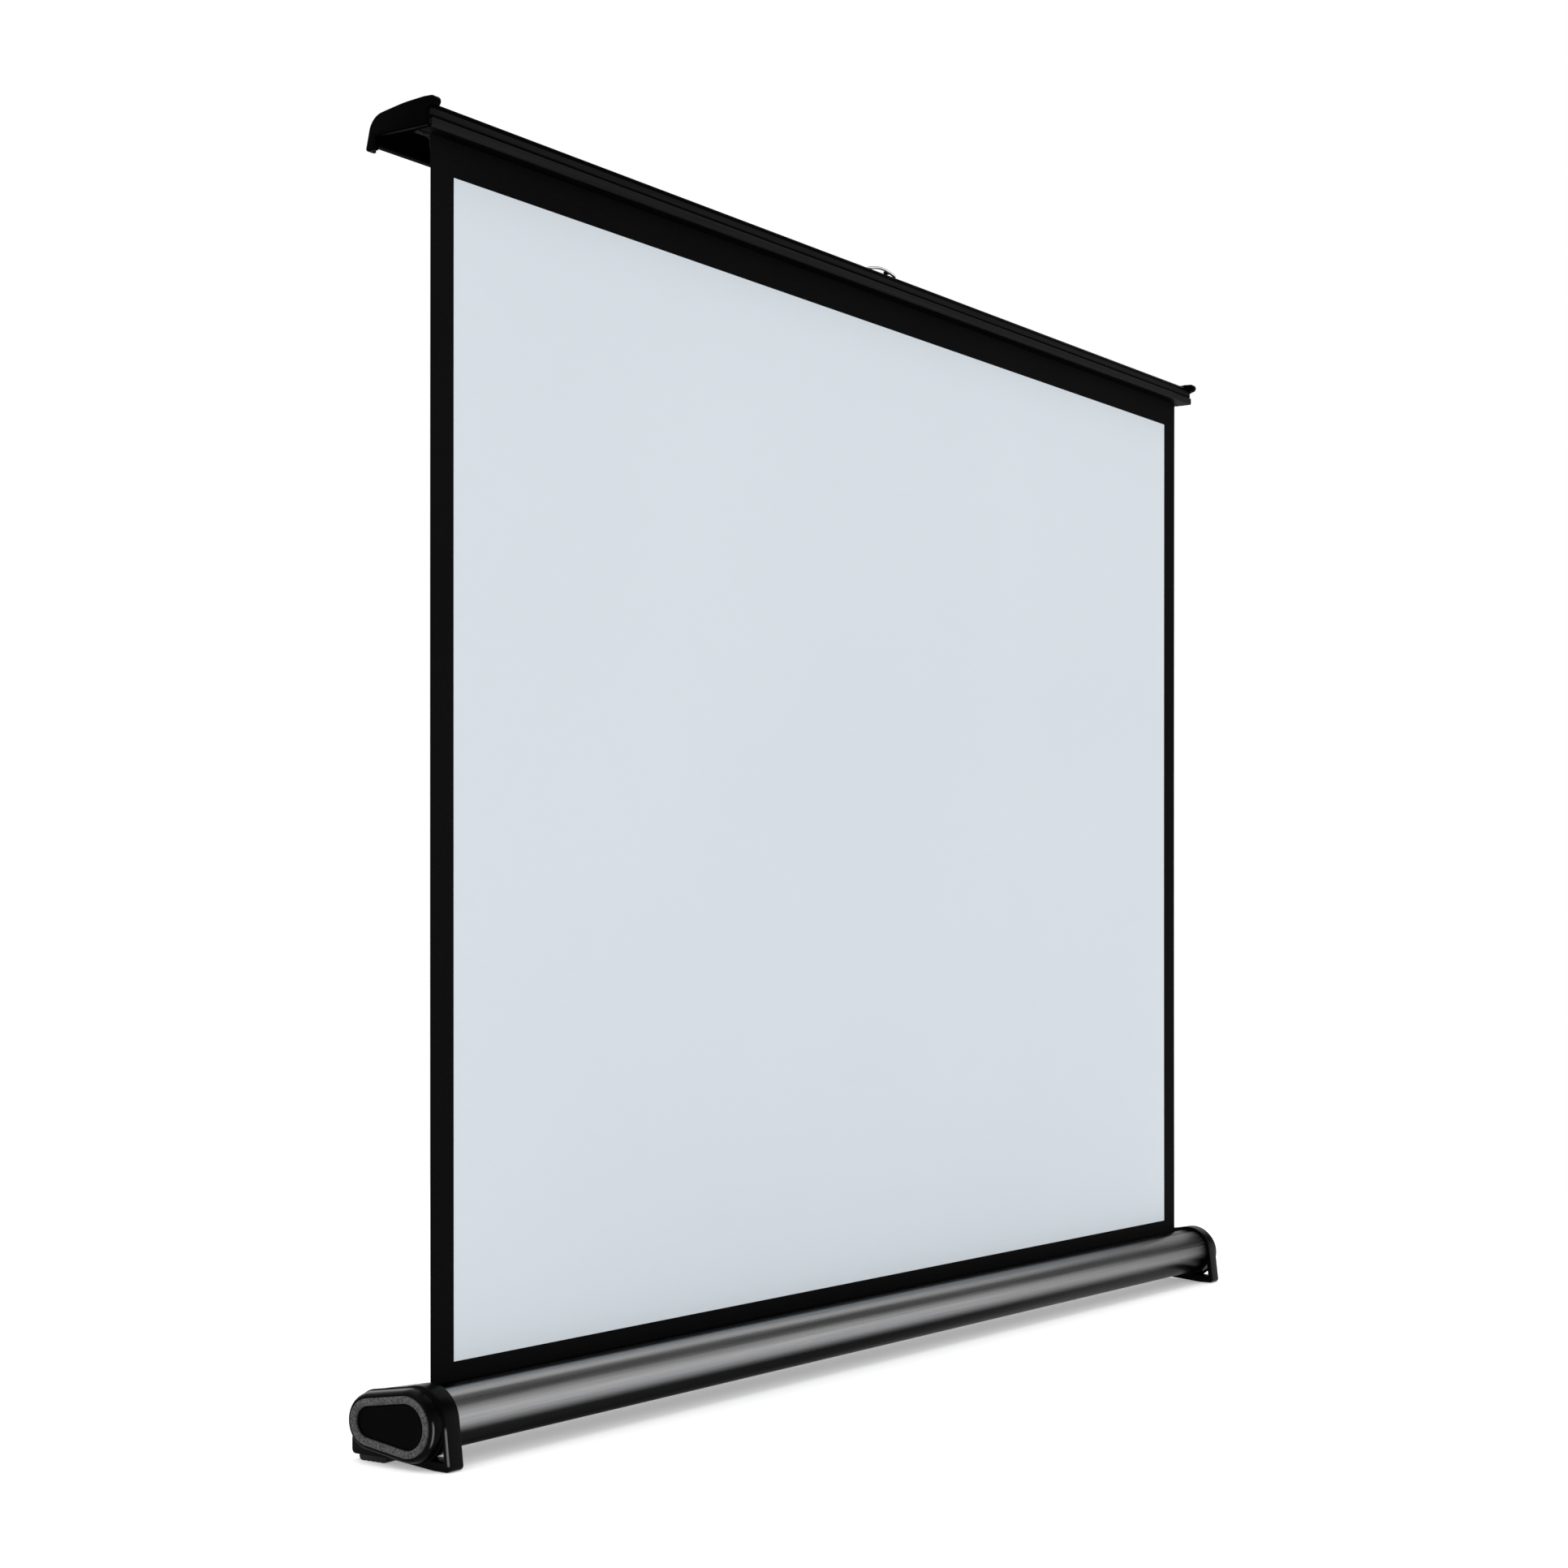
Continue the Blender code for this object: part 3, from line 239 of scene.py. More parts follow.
def rodAlong(path, radius, sides):
    # each ring is a point of the path plus radius times (across cos t + other sin t); across is carried
    # along the path without twist, and three narrower rings close each end, a little sunk
    along = unit(np.gradient(path, axis=0))
    across = np.zeros_like(path)
    side = np.cross(along[0], (0.0, 0.0, 1.0))
    for i, ahead in enumerate(along):
        side = side - ahead * side.dot(ahead)
        side /= np.linalg.norm(side)
        across[i] = side
    rows = (path, across, np.cross(along, across))
    centres, across, other = (np.pad(row, ((3, 3), (0, 0)), "edge") for row in rows)
    endWidths = np.array([0.0, 0.6, 0.9])
    endDepths = np.array([0.0, 0.1, 0.3])[:, None] * radius
    centres[:3] += along[0] * endDepths
    centres[-3:] -= along[-1] * endDepths[::-1]
    widths = np.concatenate([endWidths, np.ones(len(path)), endWidths[::-1]]) * radius
    t = fullTurn * np.arange(sides) / sides
    ring = across[:, None] * np.cos(t)[None, :, None] + other[:, None] * np.sin(t)[None, :, None]
    points = centres[:, None] + ring * widths[:, None, None]
    return points.reshape(-1, 3), gridFaces(len(centres), sides)


def smoothPath(points, share):
    # a curve through the points, each stretch a cubic that leaves and reaches its ends along the line
    # between their neighbours
    p = np.asarray(points, float)
    p = np.concatenate([2 * p[:1] - p[1:2], p, 2 * p[-1:] - p[-2:-1]])
    t = np.linspace(0, 1, share, endpoint=False)[:, None]
    made = [
        0.5 * (2 * b + (c - a) * t + (2 * a - 5 * b + 4 * c - d) * t**2 + (3 * b - a - 3 * c + d) * t**3)
        for a, b, c, d in zip(p[:-3], p[1:-2], p[2:-1], p[3:])
    ]
    return np.concatenate(made + [p[-2:-1]])


# Shader maths: a socket that adds a Math node when it is added, multiplied, compared and so on
class Value:
    def __init__(self, graph, socket):
        self.graph = graph
        self.socket = socket

    def step(self, operation, first, second=0.0):
        # the result of one Math node
        return self.graph.node("ShaderNodeMath", {"operation": operation}, {0: first, 1: second})

    def __add__(self, other):
        return self.step("ADD", self, other)

    __radd__ = __add__

    def __mul__(self, other):
        return self.step("MULTIPLY", self, other)

    __rmul__ = __mul__

    def __sub__(self, other):
        return self.step("SUBTRACT", self, other)

    def __rsub__(self, other):
        return self.step("SUBTRACT", other, self)

    def __gt__(self, other):
        return self.step("GREATER_THAN", self, other)

    def __lt__(self, other):
        return self.step("LESS_THAN", self, other)

    def __abs__(self):
        return self.step("ABSOLUTE", self)


class Graph:
    def __init__(self, tree):
        self.tree = tree

    def node(self, kind, settings, values, output=0):
        # a new node: its settings first, then the values or links of its sockets
        made = self.tree.nodes.new(kind)
        for label, value in settings.items():
            if label == "stops":
                self.setStops(made.color_ramp, value)
            else:
                setattr(made, label, value)
        for label, value in values.items():
            self.give(made.inputs[label], value)
        return Value(self, made.outputs[output])

    def give(self, socket, value):
        # links another node's output to a socket, or sets a plain value on it
        if isinstance(value, Value):
            self.tree.links.new(value.socket, socket)
        else:
            socket.default_value = value

    def share(self, value, low, high):
        # 0 at the low value and 1 at the high one, with a soft start and end
        values = {"Value": value, "From Min": low, "From Max": high}
        return self.node("ShaderNodeMapRange", {"interpolation_type": "SMOOTHSTEP"}, values, "Result")

    def setStops(self, ramp, stops):
        # a ramp's stops as (position, grey or colour)
        while len(ramp.elements) < len(stops):
            ramp.elements.new(0.5)
        for element, (position, colour) in zip(ramp.elements, stops):
            element.position = position
            element.color = rgb(colour if hasattr(colour, "__len__") else (colour,) * 3)


class Paint(Graph):
    # a procedural material: Object coordinates, patterns and one Principled shader
    def __init__(self, name, **constants):
        self.material = bpy.data.materials.new(name)
        self.material.use_nodes = True
        super().__init__(self.material.node_tree)
        self.shader = self.tree.nodes["Principled BSDF"]
        self.coords = self.node("ShaderNodeTexCoord", {}, {}, "Object")
        for label, value in constants.items():
            self.feed(label.replace("_", " ").title().replace("Ior", "IOR"), value)

    def feed(self, label, value):
        # sets or links one of the shader's own sockets
        self.give(self.shader.inputs[label], value)

    def axis(self, letter, of=None):
        # one part of a vector, or of the surface point in metres where none is given
        return self.node("ShaderNodeSeparateXYZ", {}, {"Vector": of or self.coords}, letter)

    def stretched(self, scale, turn=(0, 0, 0)):
        # the coordinates scaled, to draw a pattern out along an axis
        values = {"Vector": self.coords, "Scale": scale, "Rotation": turn}
        return self.node("ShaderNodeMapping", {}, values, "Vector")

    def noise(self, scale, detail, coords=None, roughness=0.5):
        # soft random patches, about as many to a metre as the scale
        values = {"Vector": coords or self.coords, "Scale": scale, "Detail": detail, "Roughness": roughness}
        return self.node("ShaderNodeTexNoise", {}, values, "Fac")

    def bands(self, direction, scale):
        # threads: waves across one direction, slightly wandering
        values = {"Vector": self.coords, "Scale": scale, "Distortion": 0.6}
        return self.node("ShaderNodeTexWave", {"bands_direction": direction}, values, "Fac")

    def ramp(self, value, stops):
        # a colour told by a value through its stops
        return self.node("ShaderNodeValToRGB", {"stops": stops}, {"Fac": value}, "Color")

    def blend(self, share, first, second, mode="MIX"):
        # a colour mixed from two by the share
        settings = {"data_type": "RGBA", "blend_type": mode}
        return self.node("ShaderNodeMix", settings, {0: share, 6: first, 7: second}, 2)

    def finish(self, colour, roughness, height, depth, strength):
        # sets what varies over the surface; the normal leans with the slope of the height times the depth
        self.feed("Base Color", colour)
        self.feed("Roughness", roughness)
        values = {"Height": height, "Distance": depth, "Strength": strength}
        self.feed("Normal", self.node("ShaderNodeBump", {}, values, "Normal"))
        return self.material


def rgb(colour):
    # a colour, fully solid
    return (*colour, 1.0)


# Finishes
def caseFinish(look):
    # dark satin metal with painted shade: its tone falls from look["tone"] to look["under"], a shade painted
    # under the tube, over a stretch of height, and falls again as painted shade along the slot, times fine
    # lines drawn along its length
    paint = Paint("dark_satin_metal", metallic=1.0, specular_tint=rgb(look["edge"]))
    z = paint.axis("Z")
    low, high = (edge * mm for edge in look["deepens"])
    crown, slot = (edge * mm for edge in look["slot"])
    # painted shade mask: 0 under the tube and along the slot, 1 on the open tube between
    unshadedPart = paint.share(z, low, high) * (1 - paint.share(z, crown, slot))
    tone = paint.ramp(unshadedPart, [(0.0, look["under"]), (1.0, look["tone"])])
    streak = paint.noise(1.0, 4.0, paint.stretched((6.0, 900.0, 900.0)), 0.6)
    cloud = paint.noise(9.0, 2.0)
    drawn = paint.ramp(streak, [(0.3, 0.86), (0.7, 1.1)])
    colour = paint.blend(1.0, tone, drawn, "MULTIPLY")
    return paint.finish(colour, streak * 0.12 + cloud * 0.06 + look["roughness"], streak, 0.00003, 0.5)


def blackMetalFinish(look):
    # black anodised metal: dark to light by fine lines drawn along the extrusion, with a faint sparkle; the
    # front face below its top edge, under the look's rear and top limits in y and z, is painted lighter as
    # painted light on the lit face
    paint = Paint(look["name"], metallic=0.0, specular_ior_level=look["specular"])
    streak = paint.noise(1.0, 4.0, paint.stretched((5.0, 700.0, 700.0)), 0.6)
    grain = paint.noise(2600.0, 2.0)
    tone = paint.ramp(streak, [(0.3, look["dark"]), (0.75, look["light"])])
    band = paint.ramp(streak, [(0.3, look["bandDark"]), (0.75, look["bandLight"])])
    # painted light: a lighter tone on the front face, where the light falls
    paintedLitFace = (paint.axis("Y") < (look["bandRear"] + planeY) * mm) * (paint.axis("Z") < look["bandTop"] * mm)
    roughness = streak * 0.14 + grain * 0.08 + look["roughness"]
    return paint.finish(paint.blend(paintedLitFace, tone, band), roughness, streak + grain * 0.5, 0.00003, 0.6)


def paintedHighlightEdges(paint, look):
    # 1 where an end cap gets a glossy coat only to show painted highlight lines: by distance |y - y0 - k (z -
    # z0)| from the strut's outer edge, and by distance |x - rim| from the front of the bulge's rim; each
    # fades out at the ends of its stretch of height
    x = abs(paint.axis("X")) * 1000
    y = paint.axis("Y") * 1000 - planeY
    z = paint.axis("Z") * 1000
    (lowY, lowZ), (highY, highZ) = look["strut"]
    away = abs(y - lowY - (z - lowZ) * ((highY - lowY) / (highZ - lowZ)))
    strut = (1 - paint.share(away, 0.3, look["width"])) * (1 - paint.share(abs(x - look["face"]), 0.4, 1.0))
    strut = strut * paint.share(z, lowZ - 0.5, lowZ + 1) * (1 - paint.share(z, highZ - 4, highZ))
    rim = (1 - paint.share(abs(x - look["rim"]), 0.2, 0.9)) * paint.share(0 - y, 20, 25)
    rim = rim * paint.share(z, 15, 20) * (1 - paint.share(z, 28, 34))
    return strut + rim


def plasticFinish(look):
    # moulded plastic: faint flow clouds, handling smears in the roughness and a very fine texture
    paint = Paint(look["name"], specular_ior_level=look["specular"], coat_roughness=0.12, coat_ior=1.9)
    # painted highlight: a glossy coat laid only along lines on the end cap's edges
    if "rubbed" in look:
        paint.feed("Coat Weight", paintedHighlightEdges(paint, look["rubbed"]))
    cloud = paint.noise(35.0, 3.0)
    smear = paint.noise(1.0, 5.0, paint.stretched((60.0, 25.0, 90.0), (0.3, 0.5, 0.2)), 0.65)
    grain = paint.noise(look["grain"], 2.0)
    colour = paint.ramp(cloud, [(0.25, look["dark"]), (0.8, look["light"])])
    return paint.finish(colour, smear * look["smear"] + look["roughness"], grain, look["depth"], 0.5)


def rubberFinish(look):
    # soft rubber speckled light and dark, with a pebbled skin
    paint = Paint(look["name"], specular_ior_level=look["specular"])
    speckle = paint.noise(look["speckle"], 4.0, None, 0.7)
    cloud = paint.noise(60.0, 3.0)
    colour = paint.ramp(speckle * 0.85 + cloud * 0.15, [(0.38, look["dark"]), (0.64, look["light"])])
    return paint.finish(colour, cloud * 0.15 + look["roughness"], speckle, 0.0001, 0.6)


def powderFinish(look):
    # powder coat on pressed steel: pebbled, a little uneven
    paint = Paint(look["name"], specular_ior_level=look["specular"])
    pebble = paint.noise(1400.0, 2.0)
    cloud = paint.noise(12.0, 3.0)
    colour = paint.ramp(cloud, [(0.3, look["dark"]), (0.75, look["light"])])
    return paint.finish(colour, cloud * 0.1 + pebble * 0.1 + look["roughness"], pebble, 0.00006, 0.7)


def platedFinish(look):
    # plated or drawn metal: cool and warm patches times fine scratches, and a soft sheen
    paint = Paint(look["name"], metallic=1.0)
    patch = paint.noise(45.0, 4.0)
    scratch = paint.noise(1.0, 5.0, paint.stretched(look["stretch"]), 0.7)
    tint = paint.ramp(patch, [(0.3, look["cool"]), (0.7, look["warm"])])
    shade = paint.ramp(scratch, [(0.35, 0.82), (0.7, 1.0)])
    colour = paint.blend(1.0, tint, shade, "MULTIPLY")
    return paint.finish(colour, scratch * 0.2 + patch * 0.1 + look["roughness"], scratch, 0.00002, 0.4)


def sheetFinish(look):
    # picture cloth: pale matte coating where |x| < halfWidth, low < z < high and the face looks forward,
    # and black print elsewhere, over a fine woven ground
    paint = Paint("picture_cloth", specular_ior_level=0.015)
    z = paint.axis("Z")
    inWidth = abs(paint.axis("X")) < look["halfWidth"] * mm
    inHeight = (z > look["low"] * mm) * (z < look["high"] * mm)
    facing = paint.node("ShaderNodeNewGeometry", {}, {}, "Normal")
    pictured = inWidth * inHeight * (paint.axis("Y", facing) < 0.0)
    warp = paint.bands("X", look["threads"])
    weft = paint.bands("Z", look["threads"])
    mottle = paint.noise(900.0, 3.0)
    cloud = paint.noise(3.0, 2.0)
    coating = paint.ramp(cloud * 0.7 + mottle * 0.3, [(0.3, look["pale"]), (0.7, look["paler"])])
    border = paint.ramp(mottle * 0.6 + cloud * 0.4, [(0.35, look["black"]), (0.68, look["dusty"])])
    weave = warp * 0.5 + weft * 0.5 + mottle * 0.4
    colour = paint.blend(pictured, border, coating)
    return paint.finish(colour, mottle * 0.1 + look["roughness"], weave, 0.00003, 0.35)


finishLooks = {
    "caseMetal": {
        # the under tone and the heights it spreads over paint shade under the tube; the slot heights paint
        # shade along the slot
        "kind": caseFinish, "roughness": 0.2, "deepens": (21.0, 29.5), "slot": (47.7, 49.0),
        "tone": (0.262, 0.262, 0.265), "under": (0.012, 0.012, 0.0125), "edge": (0.5, 0.5, 0.5),
    },
    "hoodMetal": {
        "kind": blackMetalFinish, "name": "black_anodised", "specular": 0.004, "roughness": 0.3,
        "dark": 0.0007, "light": 0.0018,
        # a lighter tone painted on the hood's front face, as painted light
        "bandDark": 0.0075, "bandLight": 0.0135, "bandRear": -9.4, "bandTop": 858.4,
    },
    "railMetal": {
        "kind": blackMetalFinish, "name": "black_rail", "specular": 0.008, "roughness": 0.4,
        "dark": 0.0012, "light": 0.0028,
        # a lighter tone painted on the rail's front face, as painted light
        "bandDark": 0.009, "bandLight": 0.0155, "bandRear": -10.8, "bandTop": 852.0,
    },
    "capPlastic": {
        "kind": plasticFinish, "name": "black_gloss_plastic", "specular": 0.032, "roughness": 0.24,
        "dark": 0.0008, "light": 0.0016, "grain": 1800.0, "smear": 0.14, "depth": 0.00001,
        # painted highlight lines: glossy coat along the strut's outer edge and the front of the bulge's rim
        "rubbed": {"strut": ((-35.5, 4.0), (-32.8, 29.0)), "width": 1.1, "face": 552.6, "rim": 560.4},
    },
    "hoodPlastic": {
        "kind": plasticFinish, "name": "black_hood_plastic", "specular": 0.008, "roughness": 0.28,
        "dark": 0.0003, "light": 0.0009, "grain": 1800.0, "smear": 0.14, "depth": 0.00001,
    },
    "coverPlastic": {
        "kind": plasticFinish, "name": "black_cover_plastic", "specular": 0.015, "roughness": 0.3,
        "dark": 0.0004, "light": 0.0009, "grain": 2200.0, "smear": 0.1, "depth": 0.00002,
    },
    "nylon": {
        "kind": plasticFinish, "name": "white_nylon", "specular": 0.4, "roughness": 0.35,
        "dark": 0.62, "light": 0.72, "grain": 1500.0, "smear": 0.15, "depth": 0.00001,
    },
    "ringRubber": {
        "kind": rubberFinish, "name": "speckled_ring", "specular": 0.15, "roughness": 0.6,
        "dark": 0.012, "light": 0.11, "speckle": 800.0,
    },
    "padRubber": {
        "kind": rubberFinish, "name": "black_rubber", "specular": 0.2, "roughness": 0.7,
        "dark": 0.006, "light": 0.014, "speckle": 900.0,
    },
    "armPaint": {
        "kind": powderFinish, "name": "black_powder_coat", "specular": 0.35, "roughness": 0.38,
        "dark": 0.012, "light": 0.02,
    },
    "zinc": {
        "kind": platedFinish, "name": "zinc_plate", "roughness": 0.24, "stretch": (90.0, 700.0, 700.0),
        "cool": (0.50, 0.53, 0.57), "warm": (0.60, 0.59, 0.55),
    },
    "chrome": {
        "kind": platedFinish, "name": "bright_chrome", "roughness": 0.02, "stretch": (300.0, 300.0, 300.0),
        "cool": (0.76, 0.78, 0.81), "warm": (0.83, 0.83, 0.82),
    },
    "rollerMetal": {
        "kind": platedFinish, "name": "drawn_aluminium", "roughness": 0.28, "stretch": (8.0, 600.0, 600.0),
        "cool": (0.58, 0.60, 0.62), "warm": (0.66, 0.66, 0.64),
    },
    "springSteel": {
        "kind": platedFinish, "name": "blued_spring_steel", "roughness": 0.22,
        "stretch": (400.0, 400.0, 400.0), "cool": (0.22, 0.25, 0.32), "warm": (0.36, 0.34, 0.31),
    },
    "sheet": {
        "kind": sheetFinish, "roughness": 0.78, "threads": 260.0,
        "halfWidth": 508.0, "low": 60.6, "high": 823.0,
        "pale": (0.655, 0.708, 0.755), "paler": (0.675, 0.728, 0.775), "black": 0.0026, "dusty": 0.006,
    },
}
finishes = {label: look["kind"](look) for label, look in finishLooks.items()}
print("finishes made")


# Pieces
def added(name, data):
    # a new object in the scene for a mesh, lamp or camera
    made = bpy.data.objects.new(name, data)
    bpy.context.scene.collection.objects.link(made)
    return made


def rawPiece(name, solid):
    # an object of one solid: its points move by the plane's y and become metres, points in the same place
    # are merged, and the faces are turned outwards
    points, faces = solid
    mesh = bpy.data.meshes.new(name)
    mesh.from_pydata((points + (0.0, planeY, 0.0)) * mm, [], faces)
    shape = bmesh.new()
    shape.from_mesh(mesh)
    bmesh.ops.remove_doubles(shape, verts=shape.verts, dist=2e-7)
    bmesh.ops.dissolve_degenerate(shape, edges=shape.edges, dist=1e-8)
    bmesh.ops.recalc_face_normals(shape, faces=shape.faces)
    shape.to_mesh(mesh)
    shape.free()
    return added(name, mesh)


def shaped(piece, operation, *solids):
    # joins each solid to the piece, cuts it away, or keeps what both share
    for solid in solids:
        tool = rawPiece("tool", solid)
        step = piece.modifiers.new("shaped", "BOOLEAN")
        step.operation = operation
        step.solver = "EXACT"
        step.object = tool
        bpy.context.view_layer.update()
        graph = bpy.context.evaluated_depsgraph_get()
        result = bpy.data.meshes.new_from_object(piece.evaluated_get(graph))
        piece.modifiers.remove(step)
        piece.data = result
        bpy.data.objects.remove(tool)
    return piece


def mirrored(piece, name):
    # the piece on the other side of X = 0, with its faces turned outwards again
    mesh = piece.data.copy()
    mesh.transform(Matrix.Scale(-1, 4, (1, 0, 0)))
    mesh.flip_normals()
    return added(name, mesh)


def finished(piece, finish, slot, body, node, crease=30):
    # gives the piece its finish and shading, and lets it ride on its body in place of the node
    mesh = piece.data
    mesh.materials.clear()
    mesh.materials.append(finishes[finish])
    mesh.shade_smooth()
    mesh.set_sharp_from_angle(angle=math.radians(crease))
    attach(piece, body)
    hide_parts(node)
    return piece


def addPiece(name, solid, *facts):
    # a solid that needs no further shaping becomes a finished piece
    return finished(rawPiece(name, solid), *facts)


def addPairs(*pairs):
    # finishes pieces of the right side, then their mirror images on the left
    for piece, finish, slot, body, node, crease in pairs:
        finished(piece, finish, slot, body, f"{node}_right", crease)
    for piece, finish, slot, body, node, crease in pairs:
        left = mirrored(piece, piece.name.replace("_right", "_left"))
        finished(left, finish, slot, body, f"{node}_left", crease)


# Base case
caseLook = {
    "slotFront": -1.6,
    "slotRear": 4.8,
    "outer": tubeCentre[0] - (caseLow[1] - planeY),
    "wall": 1.6,
    "floorLow": 11.0,
    "wedgeRear": 10.6,
    "wallRear": caseHigh[1] - planeY,
    "wallTop": 41.0,
    "lip": 1.8,
    "locator": (7.4, 14.6),  # middle of the hole for each end cap's peg
    "locatorHole": 1.9,
}


def caseOutline(look):
    # tube outside, tray floor, rear wall with its inward lip, wedge, then the tube's inside; the arcs end
    # where cos or sin of their angle, times the radius, gives the slot's edges, the floor and the wedge
    ty, tz = tubeCentre
    outer = look["outer"]
    inner = outer - look["wall"]
    edge = {
        (side, radius): math.degrees(math.acos((look[side] - ty) / radius))
        for side in ("slotFront", "slotRear")
        for radius in (outer, inner)
    }
    floorMeet = 360 + math.degrees(math.asin((look["floorLow"] - tz) / outer))
    wedgeMeet = -math.degrees(math.acos((look["wedgeRear"] - ty) / outer))
    rear = look["wallRear"]
    front = rear - look["wall"]
    lip = front - look["lip"]
    top = look["wallTop"]
    under = top - look["wall"]
    floorTop = look["floorLow"] + look["wall"]
    outline = sharpCorners(arcOf(tubeCentre, outer, edge["slotFront", outer], floorMeet, 110))
    outline += [(rear, look["floorLow"], 2.4), (rear, top, 0.7), (lip, top, 0.5), (lip, under, 0.4)]
    outline += [(front, under, 0.3), (front, floorTop, 1.2), (look["wedgeRear"], floorTop, 0.8)]
    outline += sharpCorners(arcOf(tubeCentre, outer, wedgeMeet, edge["slotRear", outer], 40))
    start, stop = edge["slotRear", inner], edge["slotFront", inner] - 360
    outline += sharpCorners(arcOf(tubeCentre, inner, start, stop, 110))
    return softCorners(outline, 6)


locatorHole = arcOf(caseLook["locator"], caseLook["locatorHole"], 0, 345, 23)
caseSolid = slab("X", caseLow[0], caseHigh[0], caseOutline(caseLook), [locatorHole], (0.25, 0.25), 2)
addPiece("base_case_shell", caseSolid, "caseMetal", "case_metal", "base", "base_case")

# Base end caps
capLook = {
    "plateIn": 539.0,
    "plateOut": 553.0,
    "bulgeOut": 562.0,
    "pocket": 558.5,
    "body": 23.2,
    "tail": (24.5, 27.2, 18.8),
    "toe": -36.3,
    "strut": 4.2,
    "windowFloor": 6.4,
    "heel": 47.1,
    "heelLow": 3.6,
    "frontLobe": (-7.5, 19.6),
    "rearLobe": (24.0, 15.0),
    "lobeZ": 27.2,
    "swell": 4.0,
    "fillet": 0.9,
    "axleBore": 2.8,
    "screwBore": 1.8,
    "screwY": (17.0, 29.0),
}


def eggLoop(look, offset):
    # two arcs, of the front and the rear lobe, joined by the straight lines that touch both: they meet the
    # arcs at the angle whose cosine is the radii's difference over the lobes' distance
    frontY, frontR = look["frontLobe"]
    rearY, rearR = look["rearLobe"]
    meet = math.degrees(math.acos((frontR - rearR) / (rearY - frontY)))
    rearArc = arcOf((rearY, look["lobeZ"]), rearR + offset, -meet, meet, 72)
    frontArc = arcOf((frontY, look["lobeZ"]), frontR + offset, meet, 360 - meet, 96)
    return np.concatenate([rearArc, frontArc])


def capLoops(look):
    # the plate's outline (toe, strut, round body, tail, heel) and its see-through corner; the strut is
    # the line from the toe that touches the body, and the window lies the strut's width inside it
    ty, tz = tubeCentre
    reach = math.hypot(ty - look["toe"], tz)
    lean = math.atan2(tz, ty - look["toe"]) + math.asin(look["body"] / reach)
    strutMeet = math.degrees(lean) + 90
    tailY, tailZ, tailR = look["tail"]
    apart = math.hypot(tailY - ty, tailZ - tz)
    tilt = math.degrees(math.atan2(tailZ - tz, tailY - ty))
    tailMeet = tilt + math.degrees(math.acos((look["body"] - tailR) / apart))
    outline = [(look["heel"], 14.0, 5.0), (look["heel"], look["heelLow"], 3.2), (16.0, look["heelLow"], 6.0)]
    outline += [(-23.0, 0.0, 14.0), (look["toe"], 0.0, 3.0)]
    outline += sharpCorners(arcOf(tubeCentre, look["body"], strutMeet, tailMeet, 80))
    outline += sharpCorners(arcOf((tailY, tailZ), tailR, tailMeet, 6.0, 44))
    inset = look["strut"] / math.sin(lean)
    corner = look["toe"] + inset + look["windowFloor"] / math.tan(lean)
    gap = look["body"] - look["strut"]
    meet = strutMeet + math.degrees(math.acos(gap / look["body"]))
    floorMeet = 180 + math.degrees(math.asin((tz - look["windowFloor"]) / look["body"]))
    side = sharpCorners(arcOf(tubeCentre, look["body"], meet, floorMeet, 24))
    return softCorners(outline, 10), softCorners([(corner, look["windowFloor"], 0.9)] + side, 6)


def swellSections(look):
    # the bulge's wall, as offsets of the egg at their heights: a fillet r(1 - sin t) out of the plate, a
    # quarter ellipse 8 sin t high, then the pocket
    plate, swell, fillet = look["plateOut"], look["swell"], look["fillet"]
    sections = [(plate - 1.2, swell)]
    for t in np.linspace(0, quarter, 6):
        sections.append((plate - 0.1 + fillet * (1 - math.cos(t)), swell + fillet * (1 - math.sin(t))))
    for t in np.linspace(0.08, quarter, 14):
        sections.append((plate + 1.0 + 8.0 * math.sin(t), 1.1 + (swell - 1.1) * math.cos(t)))
    sections += [(look["bulgeOut"], 0.6), (look["bulgeOut"] - 0.2, 0.35), (look["pocket"], 0.3)]
    return [(x, eggLoop(look, offset)) for x, offset in sections]


def endCap(name, look):
    # plate, bulge, spigot, hub, tray plug and locating peg joined, then hollowed and drilled
    outline, window = capLoops(look)
    root = look["plateIn"] + 0.5  # what is joined to the plate reaches this far into it
    cap = rawPiece(name, slab("X", look["plateIn"], look["plateOut"], outline, [window], (0.5, 1.3), 5))
    spigot = [(531.5, 16.6), (531.5, 18.2), (532.1, 18.6), (root, 18.6), (root, 16.6)]
    hub = [(534.6, 0), (534.6, 5.5), (535.0, 5.9), (root, 6.6), (root, 0)]
    plug = [(12.6, 12.9, 1.0), (34.6, 12.9, 1.0), (34.6, 33.0, 3.0), (24.0, 33.0, 0), (12.6, 24.0, 2.0)]
    peg = [(530.0, 0), (530.0, 1.1), (530.6, 1.6), (root, 1.6), (root, 0)]
    shaped(
        cap,
        "UNION",
        stacked("X", swellSections(look)),
        turnedSolid("X", tubeCentre, spigot, 72),
        turnedSolid("X", tubeCentre, hub, 48),
        slab("X", 521.0, root, softCorners(plug, 5), (), (0.5, 0), 3),
        turnedSolid("X", caseLook["locator"], peg, 24),
    )
    hollow = [(14.6, 15.0, 0.8), (32.6, 15.0, 0.8), (32.6, 31.0, 1.6), (24.6, 31.0, 0), (14.6, 22.6, 1.2)]
    screws = [roundBar("Z", (530.0, y), look["screwBore"], 11.6, 20.0, 20) for y in look["screwY"]]
    padSeat = slab("Z", -2.0, 6.3, roundedBox(540.6, 17.2, 552.3, 41.8, 0.4, 3))
    return shaped(
        cap,
        "DIFFERENCE",
        slab("X", 512.0, 526.0, softCorners(hollow, 4)),
        roundBar("X", tubeCentre, look["axleBore"], 520.0, 546.0, 32),
        *screws,
        padSeat,
    )


